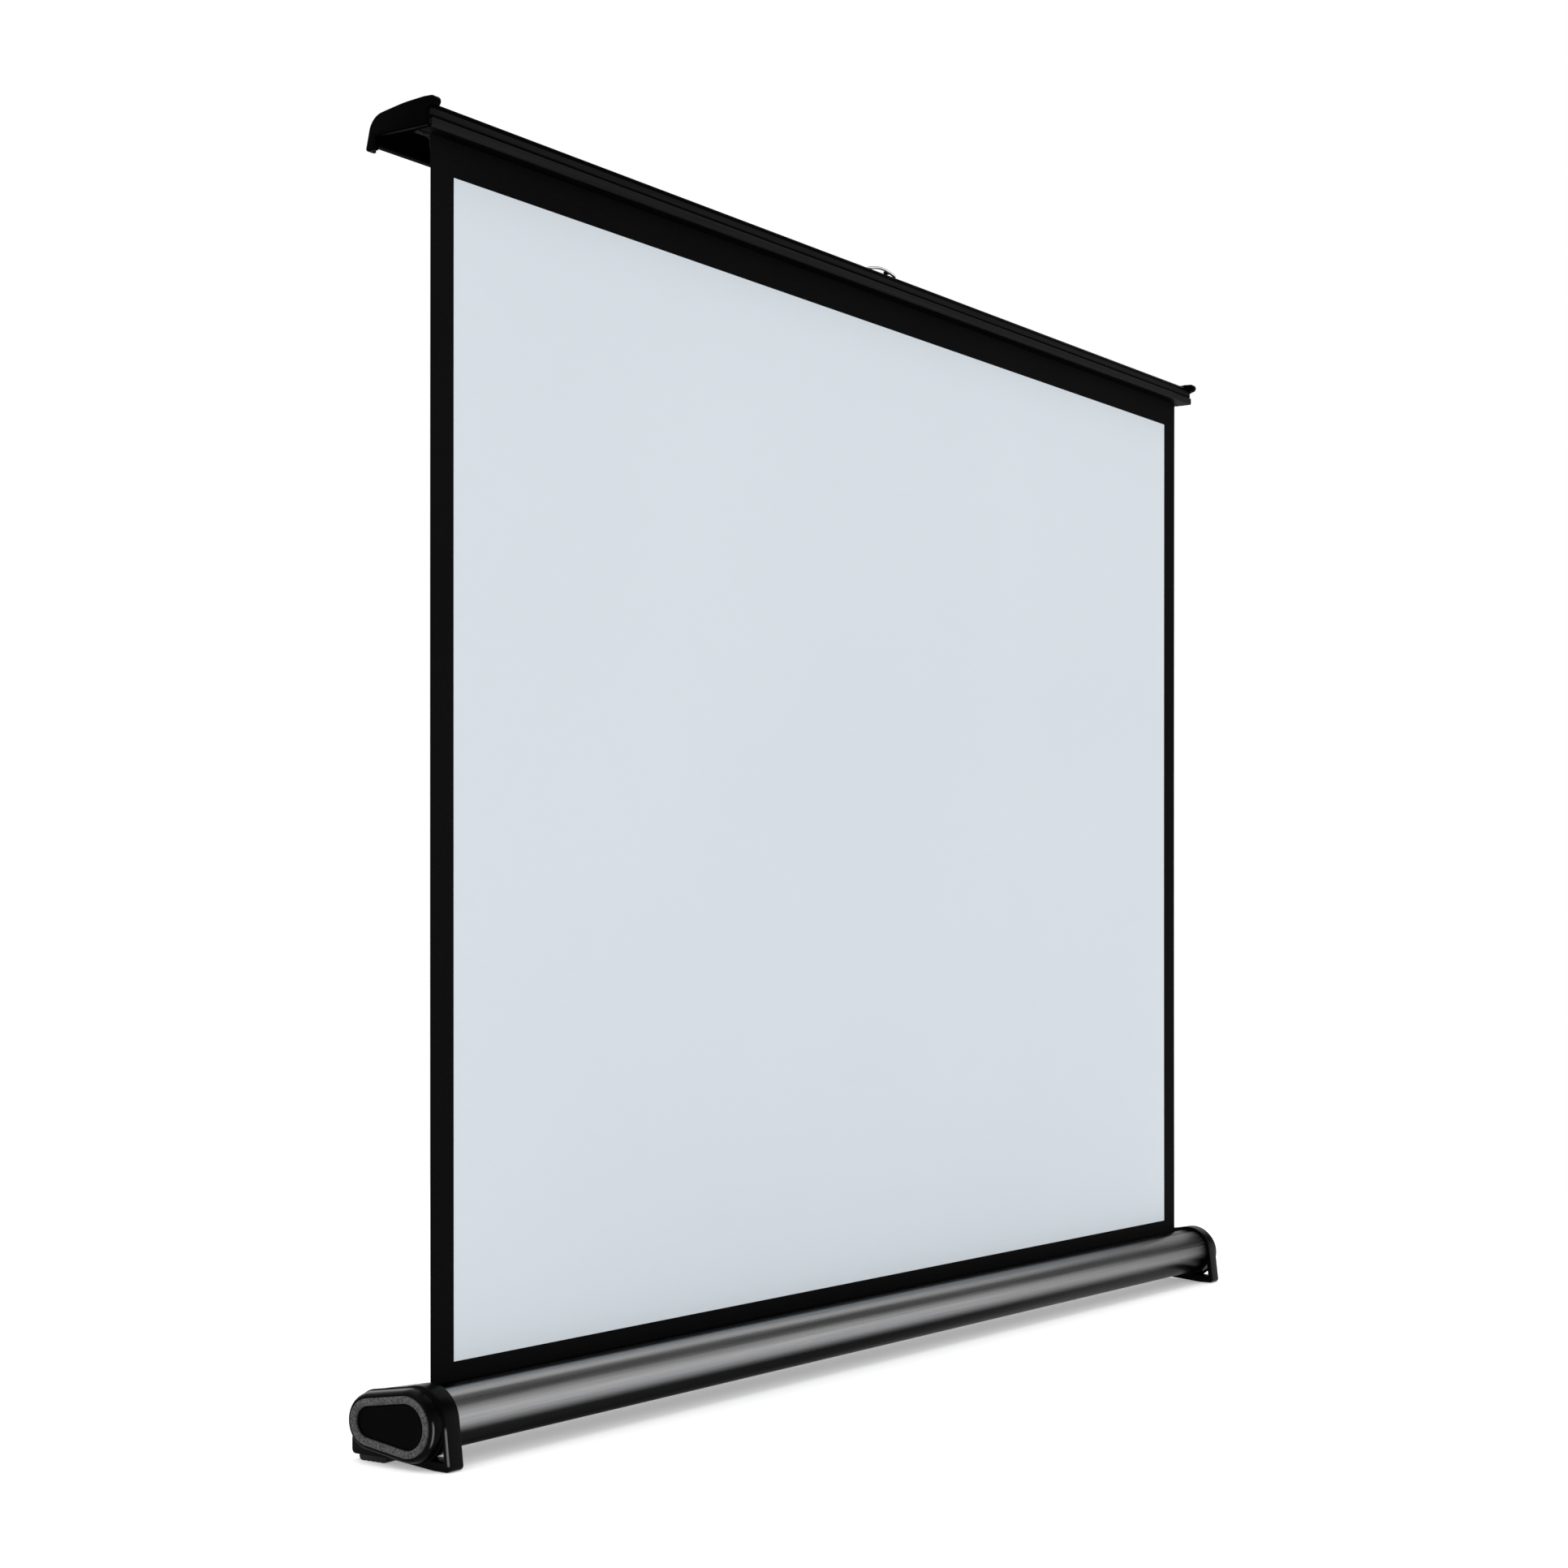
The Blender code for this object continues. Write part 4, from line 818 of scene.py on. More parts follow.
addPairs((endCap("end_cap_shell_right", capLook), "capPlastic", "cap_plastic", "base", "end_cap", 32))
print("base case and end caps made")

# Ring and cover in each cap's pocket
ringLook = {"width": 4.8, "seat": 558.8, "face": 562.9, "cover": 560.8, "gap": 0.3}


def ringSolid(look):
    # a soft band with a rounded face: each corner (x, offset) of its section is a copy of the egg outline
    seat, face, width = look["seat"], look["face"], look["width"]
    rim = [(seat, -width, 0.2), (seat, 0.0, 0.2), (face - 0.25, 0.0, 0.35), (face, -0.9, 0.6)]
    rim = softCorners(rim + [(face, 1.2 - width, 0.7), (face - 0.7, -width, 0.5)], 4)
    loops = [placed("X", eggLoop(capLook, offset), x) for x, offset in rim]
    return np.concatenate(loops), gridFaces(len(rim), len(loops[0]), closed=True)


def coverSolid(look):
    # a flat cover with a raised thin lip at its edge, as offsets of the egg outline at their heights
    inside = -look["width"] - look["gap"]
    flat = look["cover"]
    lip = [(flat + 0.35, 0.0), (flat + 0.6, 0.12), (flat + 0.6, 0.4), (flat + 0.3, 0.6), (flat - 0.1, 0.9)]
    return stacked("X", [(x, eggLoop(capLook, inside - inset)) for x, inset in [(look["seat"], 0.0)] + lip])


ring = rawPiece("cap_ring_band_right", ringSolid(ringLook))
cover = rawPiece("cap_cover_plate_right", coverSolid(ringLook))
addPairs(
    (ring, "ringRubber", "ring_rubber", "base", "cap_ring", 40),
    (cover, "coverPlastic", "cover_plastic", "base", "cap_cover", 32),
)

# Rear foot pads, grooved underneath
padLook = {"front": 17.5, "rear": 41.5, "ends": (541.0, 551.9), "top": 6.0, "grooves": 4, "groove": 0.5}


def padOutline(look):
    # flat sole with shallow grooves, evenly spaced, between rounded ends
    front, rear, groove = look["front"], look["rear"], look["groove"]
    corners = [(front + 0.5, 0.0, 2.6)]
    for y in np.linspace(front + 6.0, rear - 6.0, look["grooves"]):
        corners += [(y - 0.7, 0.0, 0.4), (y - 0.4, groove, 0.2), (y + 0.4, groove, 0.2), (y + 0.7, 0.0, 0.4)]
    corners += [(rear - 0.5, 0.0, 2.6), (rear, look["top"], 0.4), (front, look["top"], 0.4)]
    return softCorners(corners, 4)


for side, way in (("left", -1), ("right", 1)):
    ends = sorted(way * end for end in padLook["ends"])
    pad = slab("X", *ends, padOutline(padLook), (), (0.3, 0.3), 3)
    addPiece(f"foot_pad_sole_{side}", pad, "padRubber", "pad_rubber", "base", f"foot_pad_{side}")


# Screws: a domed head with a crossed recess, on a plain shank
screwLook = {"shank": 1.5, "flat": 0.35, "recess": (1.3, 0.32), "depth": 0.55}


def crossedScrew(name, spot, seat, top, end, head, look):
    # the dome's radius is head (flat + (1 - flat) cos t) and its height (top - seat) sin t, from above or
    # from below; two crossed bars are cut into it
    height = top - seat
    flat = look["flat"]
    t = np.linspace(0, quarter, 8)
    dome = [(seat + height * math.sin(a), head * (flat + (1 - flat) * math.cos(a))) for a in t]
    profile = [(top, 0.0)] + dome[::-1] + [(seat, look["shank"]), (end, look["shank"]), (end, 0.0)]
    long, wide = look["recess"]
    bar = roundedBox(-long, -wide, long, wide, 0.1, 2)
    low, high = sorted((top - height * look["depth"], top + height))
    bars = [slab("Z", low, high, outline + np.array(spot)) for outline in (bar, cleaned(bar[:, ::-1]))]
    return shaped(rawPiece(name, turnedSolid("Z", spot, profile, 28)), "DIFFERENCE", *bars)


def addScrews(prefix, count, finish, slot, body, head, thick, under=False):
    # a screw in the box of each numbered node, its head on top or underneath
    for i in range(1, count + 1):
        low, high = boxOf(f"{prefix}_{i}")
        spot = ((low[0] + high[0]) / 2, (low[1] + high[1]) / 2 - planeY)
        heights = (low[2] + thick, low[2], high[2]) if under else (high[2] - thick, high[2], low[2])
        piece = crossedScrew(f"{prefix}_head_{i}", spot, *heights, head, screwLook)
        finished(piece, finish, slot, body, f"{prefix}_{i}")


addScrews("cap_screw", 4, "zinc", "zinc_steel", "base", 2.6, 1.7, under=True)
addScrews("base_bracket_screw", 2, "zinc", "zinc_steel", "base", 2.6, 1.5)
addScrews("base_track_screw", 3, "zinc", "zinc_steel", "base", 2.2, 1.3)
addScrews("hood_screw", 5, "railMetal", "rail_metal", "top_bar", 2.4, 1.4)
print("rings, covers, pads and screws made")

# Crossed arms with their brackets, pins, wheels and tracks
armLook = {
    "length": 980.0,
    "halfWide": 8.0,
    "pinX": -490.0,
    "basePinZ": 25.0,
    "topPinZ": 846.7,
    "front": (14.4, 16.0, 18.4),  # the web's two faces and the flanges' edge, in y
    "rear": (22.4, 24.0, 20.0),
    "flanges": ((-7.85, -6.25), (6.25, 7.85)),
    "pinHole": 3.3,
    "axleHole": 2.3,
    "wheel": 5.5,
}
armAngle = math.asin((armLook["topPinZ"] - armLook["basePinZ"]) / armLook["length"])
armSpread = armLook["length"] * math.cos(armAngle)
wheelX = armLook["pinX"] + armSpread
basePin = (armLook["pinX"], armLook["basePinZ"])
topPin = (armLook["pinX"], armLook["topPinZ"])
crossPin = (armLook["pinX"] + armSpread / 2, (armLook["basePinZ"] + armLook["topPinZ"]) / 2)
baseWheelSpot = (wheelX, armLook["basePinZ"])
topWheelSpot = (wheelX, armLook["topPinZ"])


def armPiece(name, look, web, holes, angle, spot):
    # a flat web with round ends and holes at 0, half and all of its length, joined by a turned-up flange
    # along each edge, then turned about Y to its slope and moved to its pin
    low, high, edge = web
    length = look["length"]
    half = look["halfWide"]
    ends = np.concatenate([arcOf((0, 0), half, 90, 270, 36), arcOf((length, 0), half, -90, 90, 36)])
    loops = [arcOf((share * length, 0), look[hole], 0, 345, 23) for share, hole in zip((0, 0.5, 1), holes)]
    piece = rawPiece(name, slab("Y", low, high, ends, loops, (0.3, 0.3), 2))
    middle = (low + high) / 2
    fin = [(30, middle, 0), (length - 30, middle, 0), (length - 44, edge, 6.0), (44, edge, 6.0)]
    flanges = [slab("Z", *edges, softCorners(fin, 6), (), (0.35, 0.35), 2) for edges in look["flanges"]]
    shaped(piece, "UNION", *flanges)
    piece.data.transform(Matrix.Rotation(-angle, 4, "Y"))
    piece.data.transform(Matrix.Translation((spot[0] * mm, 0, spot[1] * mm)))
    return piece


frontHoles = ("pinHole", "pinHole", "axleHole")
frontArm = armPiece("arm_front_channel", armLook, armLook["front"], frontHoles, armAngle, basePin)
finished(frontArm, "armPaint", "arm_steel", "front_arm", "arm_front")
rearHoles = ("axleHole", "pinHole", "pinHole")
rearArm = armPiece("arm_rear_channel", armLook, armLook["rear"], rearHoles, math.pi - armAngle, baseWheelSpot)
finished(rearArm, "armPaint", "arm_steel", "rear_arm", "arm_rear")


def addTurned(node, ending, body, spot, profile, finish="zinc", slot="zinc_steel", steps=40):
    # a pin, spacer or wheel: a profile of (height, radius, corner radius) turned about Y
    solid = turnedSolid("Y", spot, softCorners(profile, 4), steps)
    addPiece(f"{node}_{ending}", solid, finish, slot, body, node)


def axleProfile(start, way, collarStart, collarStop, end):
    # a riveted head, the stretch in the arm's hole, a collar, and the stretch that carries the wheel
    neck = start + 1.2 * way
    head = [(start, 0, 0), (start, 2.8, 0.6), (start + 0.5 * way, 4.0, 0.4), (neck, 4.0, 0.1), (neck, 2.0, 0)]
    collar = [(collarStart, 2.0, 0), (collarStart, 3.2, 0.2), (collarStop, 3.2, 0.2), (collarStop, 2.0, 0)]
    return head + collar + [(end, 2.0, 0.3), (end, 0, 0)]


# From one end of the pin to the other, as (height, radius, corner radius)
baseRivet = [(11.8, 0, 0), (11.8, 3.0, 0.3), (19.3, 3.0, 0), (19.3, 5.0, 0.2), (20.2, 5.0, 0.6)]
baseRivet += [(20.5, 3.0, 1.0), (20.5, 0, 0)]
centreRivet = [(13.0, 0, 0), (13.0, 3.4, 0.8), (13.5, 5.0, 0.6), (14.1, 5.0, 0.1), (14.1, 3.0, 0)]
centreRivet += [(24.3, 3.0, 0), (24.3, 5.0, 0.1), (24.9, 5.0, 0.6), (25.4, 3.4, 0.8), (25.4, 0, 0)]
spacer = [(16.3, 3.3, 0.2), (16.3, 5.6, 0.5), (22.1, 5.6, 0.5), (22.1, 3.3, 0.2)]
topRivet = [(17.3, 0, 0), (17.3, 3.4, 0.8), (17.9, 5.0, 0.6), (18.6, 5.0, 0.1), (18.6, 3.0, 0)]
topRivet += [(27.0, 3.0, 0.3), (27.0, 0, 0)]
rearAxle = axleProfile(20.9, 1, 24.3, 26.6, 30.9)
frontAxle = axleProfile(17.5, -1, 14.1, 13.3, 9.2)
addTurned("pin_base", "rivet", "base", basePin, baseRivet)
addTurned("pin_centre", "rivet", "front_arm", crossPin, centreRivet)
addTurned("centre_spacer", "washer", "front_arm", crossPin, spacer, "nylon", "wheel_plastic")
addTurned("pin_top", "rivet", "top_bar", topPin, topRivet)
addTurned("wheel_axle_rear", "rivet", "rear_arm", baseWheelSpot, rearAxle)
addTurned("wheel_axle_front", "rivet", "front_arm", topWheelSpot, frontAxle)


def wheelProfile(low, high):
    # bore, hub, hollowed face and tyre land, as (depth, radius, corner radius), the same on both sides
    side = [(0, 2.3, 0.1), (0, 3.2, 0.2), (0.7, 3.5, 0.2), (0.7, 4.4, 0.2), (0, 4.7, 0.2)]
    side += [(0, armLook["wheel"], 0.5)]
    return [(low + d, r, c) for d, r, c in side] + [(high - d, r, c) for d, r, c in side[::-1]]


for end, spot, faces in (("base", baseWheelSpot, (26.9, 30.6)), ("top", topWheelSpot, (9.4, 13.0))):
    profile = wheelProfile(*faces)
    addTurned(f"slide_wheel_{end}", "roller", f"{end}_wheel", spot, profile, "nylon", "wheel_plastic", 64)

bracketLook = {"half": 26.0, "depth": (8.0, 32.0), "pinBore": 3.3, "screwBore": 1.8, "screwX": 20.0}


def addBracket(node, body, claw, side, spot, screwY, screwZ):
    # a plate bent to a U and cut to a side outline with rounded ears, bored for its pin and its screws
    x = armLook["pinX"]
    half = bracketLook["half"]
    low, high = bracketLook["depth"]
    outline = [(x + u, z, radius) for u, z, radius in side]
    piece = rawPiece(f"{node}_plate", slab("X", x - half, x + half, softCorners(claw, 5)))
    shaped(piece, "INTERSECT", slab("Y", low, high, softCorners(outline, 12)))
    screws = [(x + way * bracketLook["screwX"], screwY) for way in (-1, 1)]
    wells = [roundBar("Z", screw, bracketLook["screwBore"], *screwZ) for screw in screws]
    shaped(piece, "DIFFERENCE", roundBar("Y", spot, bracketLook["pinBore"], low, high, 40), *wells)
    finished(piece, "armPaint", "zinc_steel", body, node)


baseClaw = [(11.6, 12.9, 1.4), (19.0, 12.9, 1.4), (19.0, 34.4, 0.3), (17.4, 34.4, 0.3)]
baseClaw += [(17.4, 14.5, 0.4), (13.2, 14.5, 0.4), (13.2, 34.4, 0.3), (11.6, 34.4, 0.3)]
baseSide = [(-26, 12.0, 0), (26, 12.0, 0), (26, 14.55, 0), (12, 14.6, 2.0), (9, 34.0, 8.4)]
baseSide += [(-9, 34.0, 8.4), (-12, 14.6, 2.0), (-26, 14.55, 0)]
addBracket("arm_bracket_base", "base", baseClaw, baseSide, basePin, 15.3, (11.0, 16.0))
footTop = 856.3
earLow = armLook["topPinZ"] - 9.0
clawLow = earLow - 2.0
topClaw = [(18.9, footTop, 1.4), (18.9, clawLow, 0.3), (20.5, clawLow, 0.3), (20.5, footTop - 1.2, 0.4)]
topClaw += [(25.6, footTop - 1.2, 0.4), (25.6, clawLow, 0.3), (27.2, clawLow, 0.3), (27.2, footTop, 1.4)]
topSide = [(-26, 857.2, 0), (-26, footTop - 1.25, 0), (-12, footTop - 1.3, 2.0), (-9, earLow, 8.4)]
topSide += [(9, earLow, 8.4), (12, footTop - 1.3, 2.0), (26, footTop - 1.25, 0), (26, 857.2, 0)]
addBracket("arm_bracket_top", "top_bar", topClaw, topSide, topPin, 23.0, (853.0, 858.0))

trackLook = {"start": 20.0, "end": 520.0, "room": 5.9, "sheet": 1.2, "screwBore": 1.8}


def wheelRoom(pinZ):
    # underside and top of the room that a track leaves its wheel
    return pinZ - trackLook["room"], pinZ + trackLook["room"]


def addTrack(node, body, shape, screwX, screwY, screwZ):
    # a folded channel on its foot, drilled for its screws
    channel = slab("X", trackLook["start"], trackLook["end"], softCorners(shape, 5))
    wells = [roundBar("Z", (x, screwY), trackLook["screwBore"], *screwZ) for x in screwX]
    piece = shaped(rawPiece(f"{node}_channel", channel), "DIFFERENCE", *wells)
    finished(piece, "zinc", "zinc_steel", body, node)


low, high = wheelRoom(armLook["basePinZ"])
under, over = low - trackLook["sheet"], high + trackLook["sheet"]
shape = [(26.2, 12.9, 0), (32.6, 12.9, 1.4), (32.6, over, 1.4), (26.2, over, 0), (26.2, high, 0)]
shape += [(31.4, high, 0.5), (31.4, low, 0.5), (26.2, low, 0), (26.2, under, 0), (31.4, under, 0.5)]
shape += [(31.4, 14.1, 0.5), (26.2, 14.1, 0)]
addTrack("slide_track_base", "base", shape, (50.0, 270.0, 490.0), 28.9, (11.0, 15.0))
low, high = wheelRoom(armLook["topPinZ"])
under, over = low - trackLook["sheet"], high + trackLook["sheet"]
shape = [(7.7, 858.5, 0.9), (7.7, under, 1.4), (13.5, under, 0), (13.5, low, 0), (8.9, low, 0.5)]
shape += [(8.9, high, 0.5), (13.5, high, 0), (13.5, over, 0), (8.9, over, 0.3), (8.9, 857.3, 0.3)]
shape += [(13.5, 857.3, 0), (13.5, 858.5, 0)]
addTrack("slide_track_top", "top_bar", shape, (60.0, 275.0, 490.0), 10.6, (856.8, 860.0))

stopEnds = (trackLook["start"] + 1.5, wheelX - armLook["wheel"] - 0.3)
for node, body, box in (
    ("track_stop_base", "base", (26.6, 19.4, 31.0, 30.6)),
    ("track_stop_top", "top_bar", (9.3, 841.1, 13.2, 852.3)),
):
    stop = slab("X", *stopEnds, roundedBox(*box, 1.2, 5), (), (0.5, 0.5), 3)
    addPiece(f"{node}_block", stop, "padRubber", "pad_rubber", body, node)
print("arms, brackets, pins, wheels and tracks made")

# Top bar
hoodLook = {"front": -10.0, "wall": 1.8, "top": hoodHigh[2], "rearLow": (39.3, 840.8)}


def hoodLine(look):
    # front face, top falling to the rear, and the rear drop, front to rear
    corners = [(look["front"], 854.6, 0), (look["front"], look["top"], 2.6), (10.0, 861.3, 120.0)]
    corners += [(35.5, 857.4, 10.5), (*look["rearLow"], 0)]
    arcs = [cornerArc(corners[i - 1], corners[i], corners[(i + 1) % 5], 20) for i in range(5)]
    return np.array(sum(arcs, []))


def hoodOutline(look):
    # outer line, rear lip, inner line (the outer one moved in by the wall) with its rib and ledges, and the
    # groove in the front face
    front = look["front"]
    wall = front + look["wall"]
    outer = hoodLine(look)
    inner = lineBeside(outer, -look["wall"])
    back = inner[(inner[:, 1] > 843.4) & (inner[:, 0] > wall - 0.01)]
    outline = sharpCorners(outer[:-1]) + [(*look["rearLow"], 0.5)]
    outline += [(33.8, 840.8, 0.5), (33.8, 842.6, 0.5), (37.0, 842.6, 0.3)]
    outline += sharpCorners(back[back[:, 0] > 7.6][::-1])
    outline += [(7.3, 859.6, 0), (7.3, 851.5, 0.3), (3.6, 851.5, 0.3), (3.6, 853.1, 0.3), (5.9, 853.1, 0.3)]
    outline += [(5.9, 859.7, 0)] + sharpCorners(back[back[:, 0] < 5.6][::-1])
    outline += [(wall, 853.1, 0.3), (-6.5, 853.1, 0.3), (-6.5, 851.5, 0.3), (wall, 851.5, 0.3)]
    outline += [(wall, 848.2, 0.3), (front, 848.2, 0.4), (front, 851.2, 0.3), (-9.1, 851.8, 0.2)]
    outline += [(-9.1, 854.0, 0.2)]
    return softCorners(outline, 4)


hood = slab("X", hoodLow[0], hoodHigh[0], hoodOutline(hoodLook), (), (0.2, 0.2), 2)
addPiece("hood_shell", hood, "hoodMetal", "hood_metal", "top_bar", "hood")

railLook = {
    "front": railLow[1] - planeY,
    "low": railLow[2],
    "tunnel": (0.0, 851.2),
    "tunnelRadius": 1.9,
    "hook": -10.3,
}


def railOutline(look):
    # hooked front wall, the round tunnel for the sheet's rod with its slot, and the flange under the
    # hood's ledges
    front, low, hook = look["front"], look["low"], look["hook"]
    corners = [(front, low, 1.2), (-0.6, low, 0.3)]
    corners += sharpCorners(arcOf(look["tunnel"], look["tunnelRadius"], 251.6, -71.6, 48))
    corners += [(0.6, low, 0.3), (3.2, low, 0.4), (3.2, 853.4, 0.2), (5.5, 853.4, 0.2), (5.5, 855.0, 0.3)]
    corners += [(-7.9, 855.0, 0.3), (-7.9, 853.4, 0.2), (-6.2, 853.4, 0.2), (-6.2, low + 1.9, 0.3)]
    corners += [(hook, low + 1.9, 0.3), (hook, 852.0, 0.4), (front, 852.0, 0.9)]
    return softCorners(corners, 6)


rail = slab("X", railLow[0], railHigh[0], railOutline(railLook), (), (0.2, 0.2), 2)
addPiece("clamp_rail_strip", rail, "railMetal", "rail_metal", "top_bar", "clamp_rail")

hoodCapLook = {"inner": 538.0, "face": 544.5, "proud": 3.0, "gap": 0.3, "plugIn": 530.0, "plugWall": 2.2}


def hoodCap(name, look):
    # a rim that stands proud of the hood's line with a round nose in front, hollowed by a gap round the
    # hood's end, and a plug along the inside of the hood's rear half
    line = hoodLine(hoodLook)
    wall = hoodLook["wall"]
    rim = lineBeside(line, look["proud"])
    rim = rim[(rim[:, 1] > 848.0) & (rim[:, 0] > -8.6)]
    nose = arcOf((-12.9, 861.7), 3.3, 262, 100, 30)
    corners = [(-9.7, 846.8, 0.4), (-9.7, 857.2, 0)] + sharpCorners(nose) + sharpCorners(rim)
    corners += [(42.9, 839.4, 1.2), (41.8, 838.2, 0.8), (34.0, 838.2, 0.6), (34.0, 846.8, 1.0)]
    cap = rawPiece(name, slab("X", look["inner"], look["face"], softCorners(corners, 6), (), (0.3, 0.9), 4))
    wrap = lineBeside(line, look["gap"])
    room = [(-30.0, 830.0), (-30.0, 858.3), (-12.0, 858.3)]
    room = [room, wrap[(wrap[:, 1] > 858.4) | (wrap[:, 0] > 20.0)], [(wrap[-1][0] + 0.35, 830.0)]]
    shaped(cap, "DIFFERENCE", slab("X", look["inner"] - 3.0, hoodHigh[0] + look["gap"], np.concatenate(room)))
    outside, inside = (lineBeside(line, -wall - depth) for depth in (look["gap"], look["plugWall"]))
    outside, inside = (side[(side[:, 0] > 14.0) & (side[:, 1] > 846.0)] for side in (outside, inside))
    plug = np.concatenate([outside, inside[::-1]])
    return shaped(cap, "UNION", slab("X", look["plugIn"], hoodHigh[0] + 1.2, plug))


hoodEnd = hoodCap("hood_cap_shell_right", hoodCapLook)
addPairs((hoodEnd, "hoodPlastic", "cap_plastic", "top_bar", "hood_cap", 32))

# Carry handle: a bail of wire in two lugs, lying forward with its bar bowed up
bailLook = {"half": 20.0, "wire": 1.4, "hinge": (16.0, 864.4), "front": -4.0, "crown": 867.9, "steps": 6}
lugLook = {
    "ends": (22.6, 28.6),
    "bore": 1.7,
    "boreEnds": (21.0, 26.8),
    "side": [
        (11.8, 861.55, 0.2), (20.4, 860.45, 0.2), (19.4, 865.6, 1.8), (16.6, 867.0, 2.4), (13.0, 866.0, 1.8),
    ],
}
restLook = {
    "ends": (-2.5, 2.5),
    "side": [(-9.0, 862.9, 0.2), (-6.0, 862.8, 0.2), (-6.0, 864.9, 0.8), (-9.0, 865.0, 1.2)],
}


def bailPath(look):
    # from one lug forward along a leg, over the bar, bowed up as cos(pi/2 x / half), and back to the
    # other lug
    half = look["half"]
    hingeY, hingeZ = look["hinge"]
    front = look["front"]
    leg = [
        (-half - 6.2, hingeY, hingeZ),
        (-half - 3.0, hingeY, hingeZ),
        (-half - 1.0, hingeY - 0.6, hingeZ),
        (-half - 0.2, hingeY - 2.4, hingeZ),
        (-half, hingeY - 5.0, hingeZ),
        (-half, front + 5.0, hingeZ + 0.4),
        (-half + 0.5, front + 2.0, hingeZ + 0.5),
        (-half + 2.2, front + 0.4, hingeZ + 0.8),
    ]
    across = np.linspace(-half + 4.5, half - 4.5, 11)
    rise = np.cos(quarter * across / half)
    bow = [(x, front, hingeZ + 0.2 + (look["crown"] - hingeZ - 0.2) * r) for x, r in zip(across, rise)]
    return smoothPath(leg + bow + [(-x, y, z) for x, y, z in leg[::-1]], look["steps"])


bail = rodAlong(bailPath(bailLook), bailLook["wire"], 24)
addPiece("handle_bail_wire", bail, "chrome", "chrome_steel", "handle", "handle_bail", 60)
for side, way in (("left", -1), ("right", 1)):
    ends = sorted(way * end for end in lugLook["ends"])
    block = slab("X", *ends, softCorners(lugLook["side"], 8), (), (0.5, 0.5), 3)
    blind = (way * end for end in lugLook["boreEnds"])
    bore = roundBar("X", bailLook["hinge"], lugLook["bore"], *blind, 32)
    lug = shaped(rawPiece(f"handle_lug_block_{side}", block), "DIFFERENCE", bore)
    finished(lug, "capPlastic", "cap_plastic", "top_bar", f"handle_lug_{side}")
rest = slab("X", *restLook["ends"], softCorners(restLook["side"], 6), (), (0.4, 0.4), 3)
addPiece("handle_rest_block", rest, "capPlastic", "cap_plastic", "top_bar", "handle_rest")
print("top bar and handle made")

# Sheet: a thin closed strip, with a faint curl towards its free side edges
sheetLook = {
    "thick": 0.3,
    "curl": 0.5,
    "ripple": 0.12,
    "rippleLength": 61.0,
    "columns": 160,
    "rows": 120,
    "foldJoint": "front_arm_fold",
    "foldAngle": 54.94,
}


def sheetSolid(look):
    # both faces are grids with s the share of the height: y is curl (x / half width)^8 (sin pi s)^0.7 plus
    # ripple sin(x / rippleLength + 2 s) sin pi s, so it is nil at the top and bottom
    x = np.linspace(sheetLow[0], sheetHigh[0], look["columns"] + 1)[None, :]
    z = np.linspace(sheetLow[2], sheetHigh[2], look["rows"] + 1)[:, None]
    share = (z - sheetLow[2]) / (sheetHigh[2] - sheetLow[2])
    bow = np.sin(math.pi * share)
    y = look["curl"] * (x / sheetHigh[0]) ** 8 * bow**0.7
    y = y + look["ripple"] * np.sin(x / look["rippleLength"] + 2.0 * share) * bow
    half = look["thick"] / 2
    grid = [np.stack(np.broadcast_arrays(x, y + gap, z), axis=-1).reshape(-1, 3) for gap in (-half, half)]
    size = y.size
    rows, columns = y.shape
    faces = gridFaces(rows, columns, around=False)
    faces += [[i + size for i in f[::-1]] for f in faces]
    rowEnds = [i * columns for i in range(rows)]
    rim = list(range(columns)) + [i + columns - 1 for i in rowEnds[1:]]
    rim += [rowEnds[-1] + k for k in range(columns - 2, -1, -1)] + rowEnds[-2:0:-1]
    faces += [[a, b, b + size, a + size] for a, b in zip(rim, rim[1:] + rim[:1])]
    return np.concatenate(grid), faces


sheet = addPiece("picture_sheet", sheetSolid(sheetLook), "sheet", "screen_cloth", "base", "screen_fabric", 60)
foldedRise = armLook["length"] * math.sin(armAngle - math.radians(sheetLook["foldAngle"]))
dropped = armLook["topPinZ"] - armLook["basePinZ"] - foldedRise
sheetHeight = (sheetHigh[2] - sheetLow[2]) * mm
1 - dropped * mm / sheetHeight
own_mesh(sheet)

wrapLook = {"inner": 8.4, "turns": 1.9, "pitch": 0.34, "thick": 0.27}


def wrapOutline(look):
    # a spiral whose radius grows by the pitch each turn, as thick as the cloth
    t = np.linspace(0, fullTurn * look["turns"], 220)
    radius = look["inner"] + look["pitch"] * t / fullTurn
    ray = np.stack([np.cos(t), np.sin(t)], axis=1)
    inner = tubeCentre + ray * radius[:, None]
    outer = tubeCentre + ray * (radius + look["thick"])[:, None]
    return np.concatenate([outer, inner[::-1]])


turns = slab("X", sheetLow[0], sheetHigh[0], wrapOutline(wrapLook))
wraps = addPiece("sheet_turns", turns, "sheet", "screen_cloth", "roller", "fabric_wraps", 60)

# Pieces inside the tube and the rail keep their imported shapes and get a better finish
keptFinishes = {
    "roller_tube": "rollerMetal",
    "roller_plug_left": "nylon",
    "roller_plug_right": "nylon",
    "roller_axle_left": "zinc",
    "spring_arbor": "zinc",
    "retract_spring": "springSteel",
    "fabric_rod": "zinc",
}
for node, finish in keptFinishes.items():
    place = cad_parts[node].material_slots[0]
    place.link = "OBJECT"
    place.material = finishes[finish]
print("sheet and inner pieces made")

